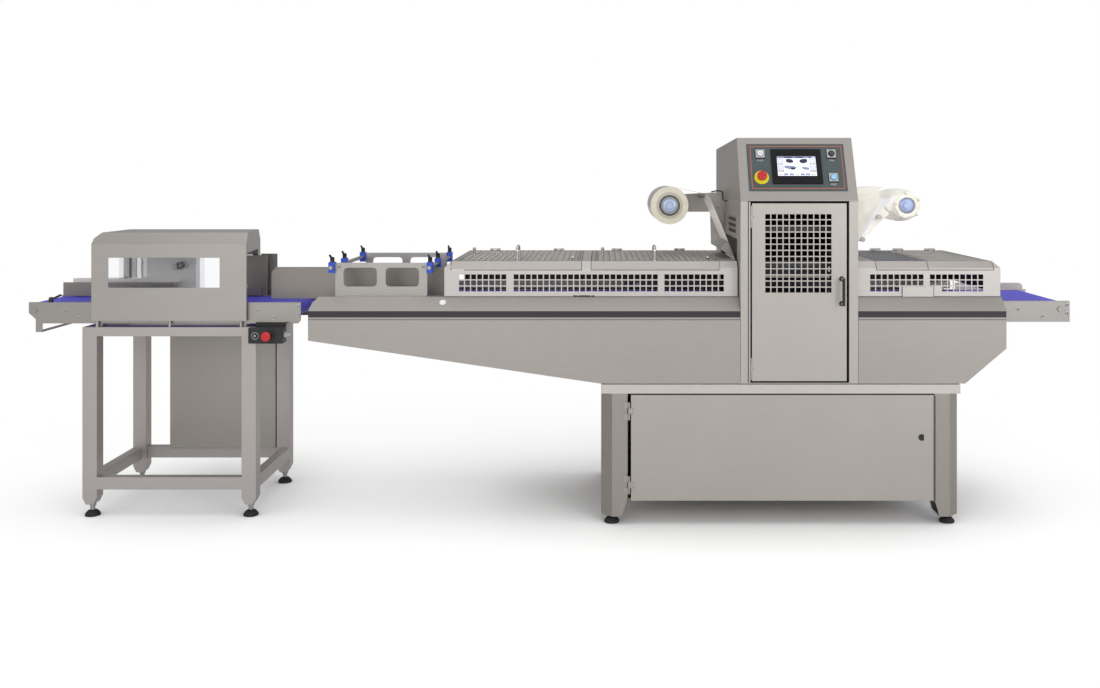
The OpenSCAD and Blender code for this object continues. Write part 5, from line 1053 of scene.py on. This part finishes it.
# Waste film, wound over the rods of its reel and loose beside the tight web
FILM_WIDTH = web.y1 - web.y0
SOLID_DEPTH_SHARES = (0, 0.12, 0.3, 0.7, 0.88, 1)
SOLID_RADII = (58, 64, 66, 66, 64, 58)
WRAP_STEPS = 220
WRAP_ROWS = 92
WRAP_LENGTH = 352
WRAP_START = 19
MOUTH_RADIUS = 58.5
MOUTH_SHARE = 0.22
WRAP_RADIUS = 66
WRAP_LIMIT = 73.5
WRAP_THICK = 1.2
VEIL_ROWS = 30
VEIL_STEPS = 64
VEIL_TURNS = (math.radians(212), math.radians(102))
VEIL_RADIUS = 73
VEIL_START_X = 263
VEIL_START_Z = (1101, 1291)
VEIL_Y = (268, 568)
VEIL_SLACK = 34
VEIL_CREASE = 7
VEIL_THICK = 0.5


def solid_radius(depth):
    """The radius of the solid roll at a depth behind its front, which the wrap stays outside of."""
    if depth < 0:
        return 0
    stations = [(share * FILM_WIDTH, radius) for share, radius in zip(SOLID_DEPTH_SHARES, SOLID_RADII)]
    for (d0, r0), (d1, r1) in zip(stations, stations[1:]):
        if depth <= d1:
            return r0 + (r1 - r0) * (depth - d0) / (d1 - d0)
    return SOLID_RADII[-1]


def wrap_radius(angle, share, depth):
    """Five-sided at the mouth, round behind it, and creased all over."""
    sector = (angle - FIRST_ROD + ROD_PITCH / 2) % ROD_PITCH - ROD_PITCH / 2
    five = MOUTH_RADIUS * math.cos(ROD_PITCH / 2) / math.cos(ROD_PITCH / 2 - abs(sector))
    swell = WRAP_RADIUS + 4.5 * math.sin(math.pi * min(1, share * 1.1)) - 5 * max(0, share - 0.86) / 0.14
    radius = swell + (five - swell) * max(0, 1 - share / MOUTH_SHARE) ** 1.4
    place = Vector((math.sin(angle) * 2.4, share * 3, math.cos(angle) * 2.4))
    crease = noise.fractal(place + Vector((3.1, 0.4, 7.7)), 1.0, 2.1, 4)
    ridge = 1 - abs(noise.noise(Vector((angle * 3.1, share * 9 + math.sin(angle) * 1.2, 1.3))))
    radius += (1.6 * crease + 2.6 * ridge ** 3 - 1.4) * (0.4 + 0.6 * min(1, share * 4))
    return max(solid_radius(depth) + 0.4, min(radius, WRAP_LIMIT))


def finish_sheet(form, rows, body, thick, offset):
    """Joins rows of points into a smooth sheet and gives it its thickness."""
    form.work.verts.ensure_lookup_table()
    for lower, upper in zip(rows, rows[1:]):
        for i in range(len(lower) - 1):
            form.work.faces.new((lower[i], upper[i], upper[i + 1], lower[i + 1])).smooth = True
    sheet = form.finish(body, "scrap_film").modifiers.new("sheet", "SOLIDIFY")
    sheet.thickness = thick / 1000
    sheet.offset = offset


def make_scrap_wrap():
    """Waste film wound over the five rods."""
    form = Form("scrap_wrap", scrap_look)
    rows = []
    for row in range(WRAP_ROWS + 1):
        share = row / WRAP_ROWS
        depth = share * WRAP_LENGTH - WRAP_START
        ring = []
        for i in range(WRAP_STEPS):
            angle = math.tau * i / WRAP_STEPS
            radius = wrap_radius(angle, share, depth)
            ring.append(form.work.verts.new(at(scrap_axis.x + radius * math.sin(angle), REEL_FRONT + depth,
                                               scrap_axis.z + radius * math.cos(angle))))
        rows.append(ring + ring[:1])
    finish_sheet(form, rows, "scrap_rewinder", WRAP_THICK, -1)


def make_scrap_veil():
    """The loose side of the waste film, which stands up from the tight web towards the arm."""
    form = Form("scrap_veil", scrap_veil_look)
    rows = []
    for row in range(VEIL_ROWS + 1):
        share = row / VEIL_ROWS
        turn = VEIL_TURNS[0] + (VEIL_TURNS[1] - VEIL_TURNS[0]) * share
        reel_x = scrap_axis.x + VEIL_RADIUS * math.cos(turn) - 3
        reel_z = scrap_axis.z + VEIL_RADIUS * math.sin(turn) + 3
        start_z = VEIL_START_Z[0] + (VEIL_START_Z[1] - VEIL_START_Z[0]) * share ** 0.7
        line = []
        for step in range(VEIL_STEPS + 1):
            along = step / VEIL_STEPS
            bow = math.sin(math.pi * along)
            slack = VEIL_SLACK * share * bow
            crease = VEIL_CREASE * bow * noise.fractal(Vector((along * 2.2, share * 9, 0.7)), 1.0, 2.1, 3)
            x = VEIL_START_X + (reel_x - VEIL_START_X) * along - slack / 2
            waver = 5 * noise.noise(Vector((along * 6, share * 3, 4.1)))
            y = VEIL_Y[0] + (VEIL_Y[1] - VEIL_Y[0]) * share + waver
            z = start_z + (reel_z - start_z) * along + slack + crease
            line.append(form.work.verts.new(at(x, y, z)))
        rows.append(line)
    finish_sheet(form, rows, "machine", VEIL_THICK, 0)


make_scrap_wrap()
make_scrap_veil()

# The levelling feet's lock nuts: the frame's node, their inset from its corners, their foot and height
FOOT_NUTS = (("base_frame", 43, 25.4, 7.5), ("stand_frame", 30, 42.5, 9))
NUT_RADIUS = 15.5

form = Form("foot_nuts", bright_look)
for node, inset, z, height in FOOT_NUTS:
    box = sides(node)
    for x in (box.x0 + inset, box.x1 - inset):
        for y in (box.y0 + inset, box.y1 - inset):
            form.raised(ring_of(6, NUT_RADIUS), height, top(x, y, z), 1.2)
form.finish("machine", "chrome")

# The switch box: its lid's edge, the button's ring, the gland's nut and the button's cap
SWITCH_WIDTH = 141
SWITCH_HEIGHT = 64
LID_EDGE = 2
PUSH_PROFILE = [(11.9, 4.4), (11.9, 5.3), (11.0, 6.0), (9.4, 6.0), (8.6, 5.5), (0.3, 5.4)]

form = Form("switch_box_trim", black_look, grey_look)
x0, x1 = switch.x0 + 2, switch.x0 + SWITCH_WIDTH - 2
z0, z1 = switch.z0 + 1.5, switch.z0 + SWITCH_HEIGHT - 1.5
inner = rounded_box(x0 + LID_EDGE, x1 - LID_EDGE, z0 + LID_EDGE, z1 - LID_EDGE, 4)
form.band(rounded_box(x0, x1, z0, z1, 5), inner, front(0, switch.y0, 0), 0.0, 1.0)
nut = beside(switch.x0 + SWITCH_WIDTH, switch.y0 + 28, SWITCH_MID_Z, 1)
form.raised(ring_of(6, 12.6), 7, nut, 1.0, 1)
form.ring(15.0, 12.4, front(*PUSH_PLACE), 0.0, 2.0, 1)
form.finish("machine", "black_plastic")

# The cap of the stand's button, dished, with a ring and a stroke on it
form = Form("stand_button_cap", black_look, white_look)
form.turned(PUSH_PROFILE, front(*PUSH_PLACE), 0, 40)
form.ring(4.2, 3.0, front(*PUSH_PLACE), 5.4, 5.7, 1, 28)
form.raised(box_of(-0.6, 0.6, 1.0, 5.6), 0.4, front(*PUSH_PLACE), 0.0, 1, base=5.4)
form.finish("stand_button", "black_plastic")

# The star knob's metal insert, the collars of the door's handle, and screws in the levers and the hinges
KNOB_X = -2687
INSERT_PROFILE = [(6.5, 0), (6.5, 1.4), (5.6, 2.2), (2.4, 2.2), (1.9, 1.5), (0.3, 1.5)]
COLLAR_PROFILE = [(10.5, 0), (10.5, 2.2), (9.4, 3.4), (6.3, 4.2)]
COLLAR_INSET = 6
LEVER_TOP = 1085
LEVER_X = (station.x0 + 8, station.x1 - 8)
LEVER_Y = (87, 677)
GUIDE_LEVER_Y = 306
CLAMP_LEVER_TOP = (-3117, 127, 913.3)
TOWER_HINGE_X = -187
TOWER_HINGE_Z = (636, 1256)
CABINET_HINGE_X = -681
CABINET_HINGE_Z = (163, 464)
HINGE_SCREW_GAP = 7


def make_screws(name, body, places, diameter):
    form = Form(name, bright_look, rubber_and_shade_look)
    for spot in places:
        form.screw(spot, diameter)
    form.finish(body, "chrome")


knob = sides("star_knob")
handle = sides("door_handle")
make_trim("star_knob_cap", "star_knob", "chrome", bright_look, INSERT_PROFILE,
          [front(KNOB_X, knob.y0, knob.mid.z)], 32)
make_screws("lever_screws", "machine", [top(x, y, LEVER_TOP) for x in LEVER_X for y in LEVER_Y], 8)
make_screws("guide_screws", "lane_guide", [top(x, GUIDE_LEVER_Y, LEVER_TOP) for x in LEVER_X], 8)
make_screws("clamp_lever_screw", "clamp_lever", [top(*CLAMP_LEVER_TOP)], 8)
make_screws("door_screws", "tower_door", [front(TOWER_HINGE_X, -1, z) for z in TOWER_HINGE_Z], 5)
make_trim("handle_collars", "tower_door", "black_plastic", black_look, COLLAR_PROFILE,
          [front(handle.mid.x, 0, z) for z in (handle.z0 + COLLAR_INSET, handle.z1 - COLLAR_INSET)], 28)
make_screws("cabinet_screws", "cabinet_door",
            [front(CABINET_HINGE_X, -3, z + shift) for z in CABINET_HINGE_Z
             for shift in (-HINGE_SCREW_GAP, HINGE_SCREW_GAP)], 5)

# Lid trim: washers under the bow handles, and the hinge screws
LID_TOP = 1000 * lid_top
BOW_FEET = (115, 211)
HINGE_SHARES = (0.22, 0.78)
LID_HINGE_Y = 717
WASHER = [(10.5, 0), (10.5, 1.4), (9.6, 2.2), (6.2, 2.2)]


def make_lid_trim(lid):
    form = Form(lid + "_trim", chrome_look, rubber_and_shade_look)
    box = sides(lid)
    for y in BOW_FEET:
        form.turned(WASHER, top(box.mid.x, y, LID_TOP), 0, 32)
    for share in HINGE_SHARES:
        form.screw(top(box.x0 + (box.x1 - box.x0) * share, LID_HINGE_Y, LID_TOP + 2), 5)
    form.finish(lid, "chrome")


make_lid_trim("left_lid_1")
make_lid_trim("left_lid_2")

# Camera, floor and light, in metres

FLOOR_HALF = 30
FLOOR_DROP = 0.0005
# The floor's own light to the camera, which fades where the machine shelters it, a painted shadow near the
# machine
FLOOR_GLOW = 0.34
SHELTER_REACH = 0.7
SHELTER_LIMITS = (0.35, 0.95)
# The floor turns into the white backdrop between two distances from the middle, stretched along the line
CLEAR_FROM = 1.0
CLEAR_TO = 2.4
CLEAR_STRETCH = (0.6, 1, 0)
# The backdrop's level as a light: its mean, and how it changes to the front, to the right and upwards
WORLD_MEAN = 0.64
WORLD_FRONT = 0.25
WORLD_RIGHT = 0.1
WORLD_UP = 0.04
# The softboxes: name, place, aim, size and power
LAMPS = (("overhead", (0, -0.2, 4.2), (0, 0.1, 0.8), (5.5, 2.6), 26),
         ("front_left", (-1.4, -6.0, 2.4), (-0.2, 0, 0.9), (3.2, 2.4), 60),
         ("front_right", (3.8, -5.2, 2.2), (0.6, 0, 0.9), (2.4, 2.0), 64))
WHITE_LIGHT = (1, 1, 1, 1)


def make_camera():
    """The camera stands level where the photograph was taken from, its frame shifted as the photograph's."""
    data = bpy.data.cameras.new("camera")
    data.sensor_width = SENSOR_WIDTH
    data.lens = SENSOR_WIDTH * FRONT_DISTANCE / (PHOTO_W * FRONT_SCALE)
    data.shift_x = (PHOTO_W / 2 - AXIS_PX[0]) / PHOTO_W
    data.shift_y = (AXIS_PX[1] - PHOTO_H / 2) / PHOTO_W
    data.clip_end = VIEW_END
    camera = new_object("camera", data)
    camera.location = TOWER + Vector((AXIS_FROM_TOWER, -FRONT_DISTANCE, EYE_HEIGHT))
    camera.rotation_euler = (math.radians(90), 0, 0)
    bpy.context.scene.camera = camera


def make_floor():
    """A pale floor that keeps the machine's shadow near it, deepened by painted shadow where the machine
    shelters it, and runs out into the white of the backdrop.
    """
    mesh = bpy.data.meshes.new("floor")
    work = bmesh.new()
    bmesh.ops.create_grid(work, x_segments=8, y_segments=8, size=FLOOR_HALF)
    work.to_mesh(mesh)
    work.free()
    floor = new_object("floor", mesh)
    floor.location.z = -FLOOR_DROP
    look = Look("floor", srgb(243, 243, 243), 0.7)
    look.bump(look.noise(300, detail=2), 0.0001, 0.2)
    look.set("Emission Color", WHITE_LIGHT)
    seen = look.seen_directly()
    shelter = look.add("ShaderNodeAmbientOcclusion", {"Distance": SHELTER_REACH}, samples=12)
    openness = look.ramp(shelter.outputs["AO"], *SHELTER_LIMITS)
    look.link(look.math("MULTIPLY", look.math("MULTIPLY", seen, FLOOR_GLOW), openness),
              look.shader.inputs["Emission Strength"])
    distance = look.add("ShaderNodeVectorMath", {0: look.stretched(CLEAR_STRETCH)}, operation="LENGTH")
    share = look.math("MULTIPLY", look.ramp(distance.outputs["Value"], CLEAR_FROM, CLEAR_TO), seen)
    white = look.add("ShaderNodeEmission", {"Color": WHITE_LIGHT})
    mix = look.add("ShaderNodeMixShader", {0: share, 1: look.shader.outputs[0], 2: white.outputs[0]})
    look.link(mix.outputs[0], look.tree.nodes["Material Output"].inputs["Surface"])
    mesh.materials.append(look.material)


def make_world():
    """A white backdrop that lights the machine softly."""
    world = bpy.data.worlds.new("studio")
    world.use_nodes = True
    graph = Graph(world.node_tree)
    background = graph.tree.nodes["Background"]
    background.inputs["Color"].default_value = WHITE_LIGHT
    way = graph.add("ShaderNodeTexCoord").outputs["Generated"]
    tilt = graph.add("ShaderNodeVectorMath", {0: way, 1: (WORLD_RIGHT, -WORLD_FRONT, WORLD_UP)},
                     operation="DOT_PRODUCT")
    level = graph.math("ADD", tilt.outputs["Value"], WORLD_MEAN)
    share = graph.add("ShaderNodeMix", {0: graph.seen_directly(), 2: level, 3: 1})
    graph.link(share.outputs[0], background.inputs["Strength"])
    bpy.context.scene.world = world


def make_lamp(name, place, aim, size, power):
    data = bpy.data.lights.new(name, "AREA")
    data.shape = "RECTANGLE"
    data.size, data.size_y = size
    data.energy = power
    lamp = new_object(name, data)
    lamp.location = place
    lamp.rotation_euler = (Vector(aim) - Vector(place)).to_track_quat("-Z", "Y").to_euler()


make_camera()
make_floor()
make_world()
for lamp_facts in LAMPS:
    make_lamp(*lamp_facts)
bpy.context.scene.view_settings.view_transform = "Standard"
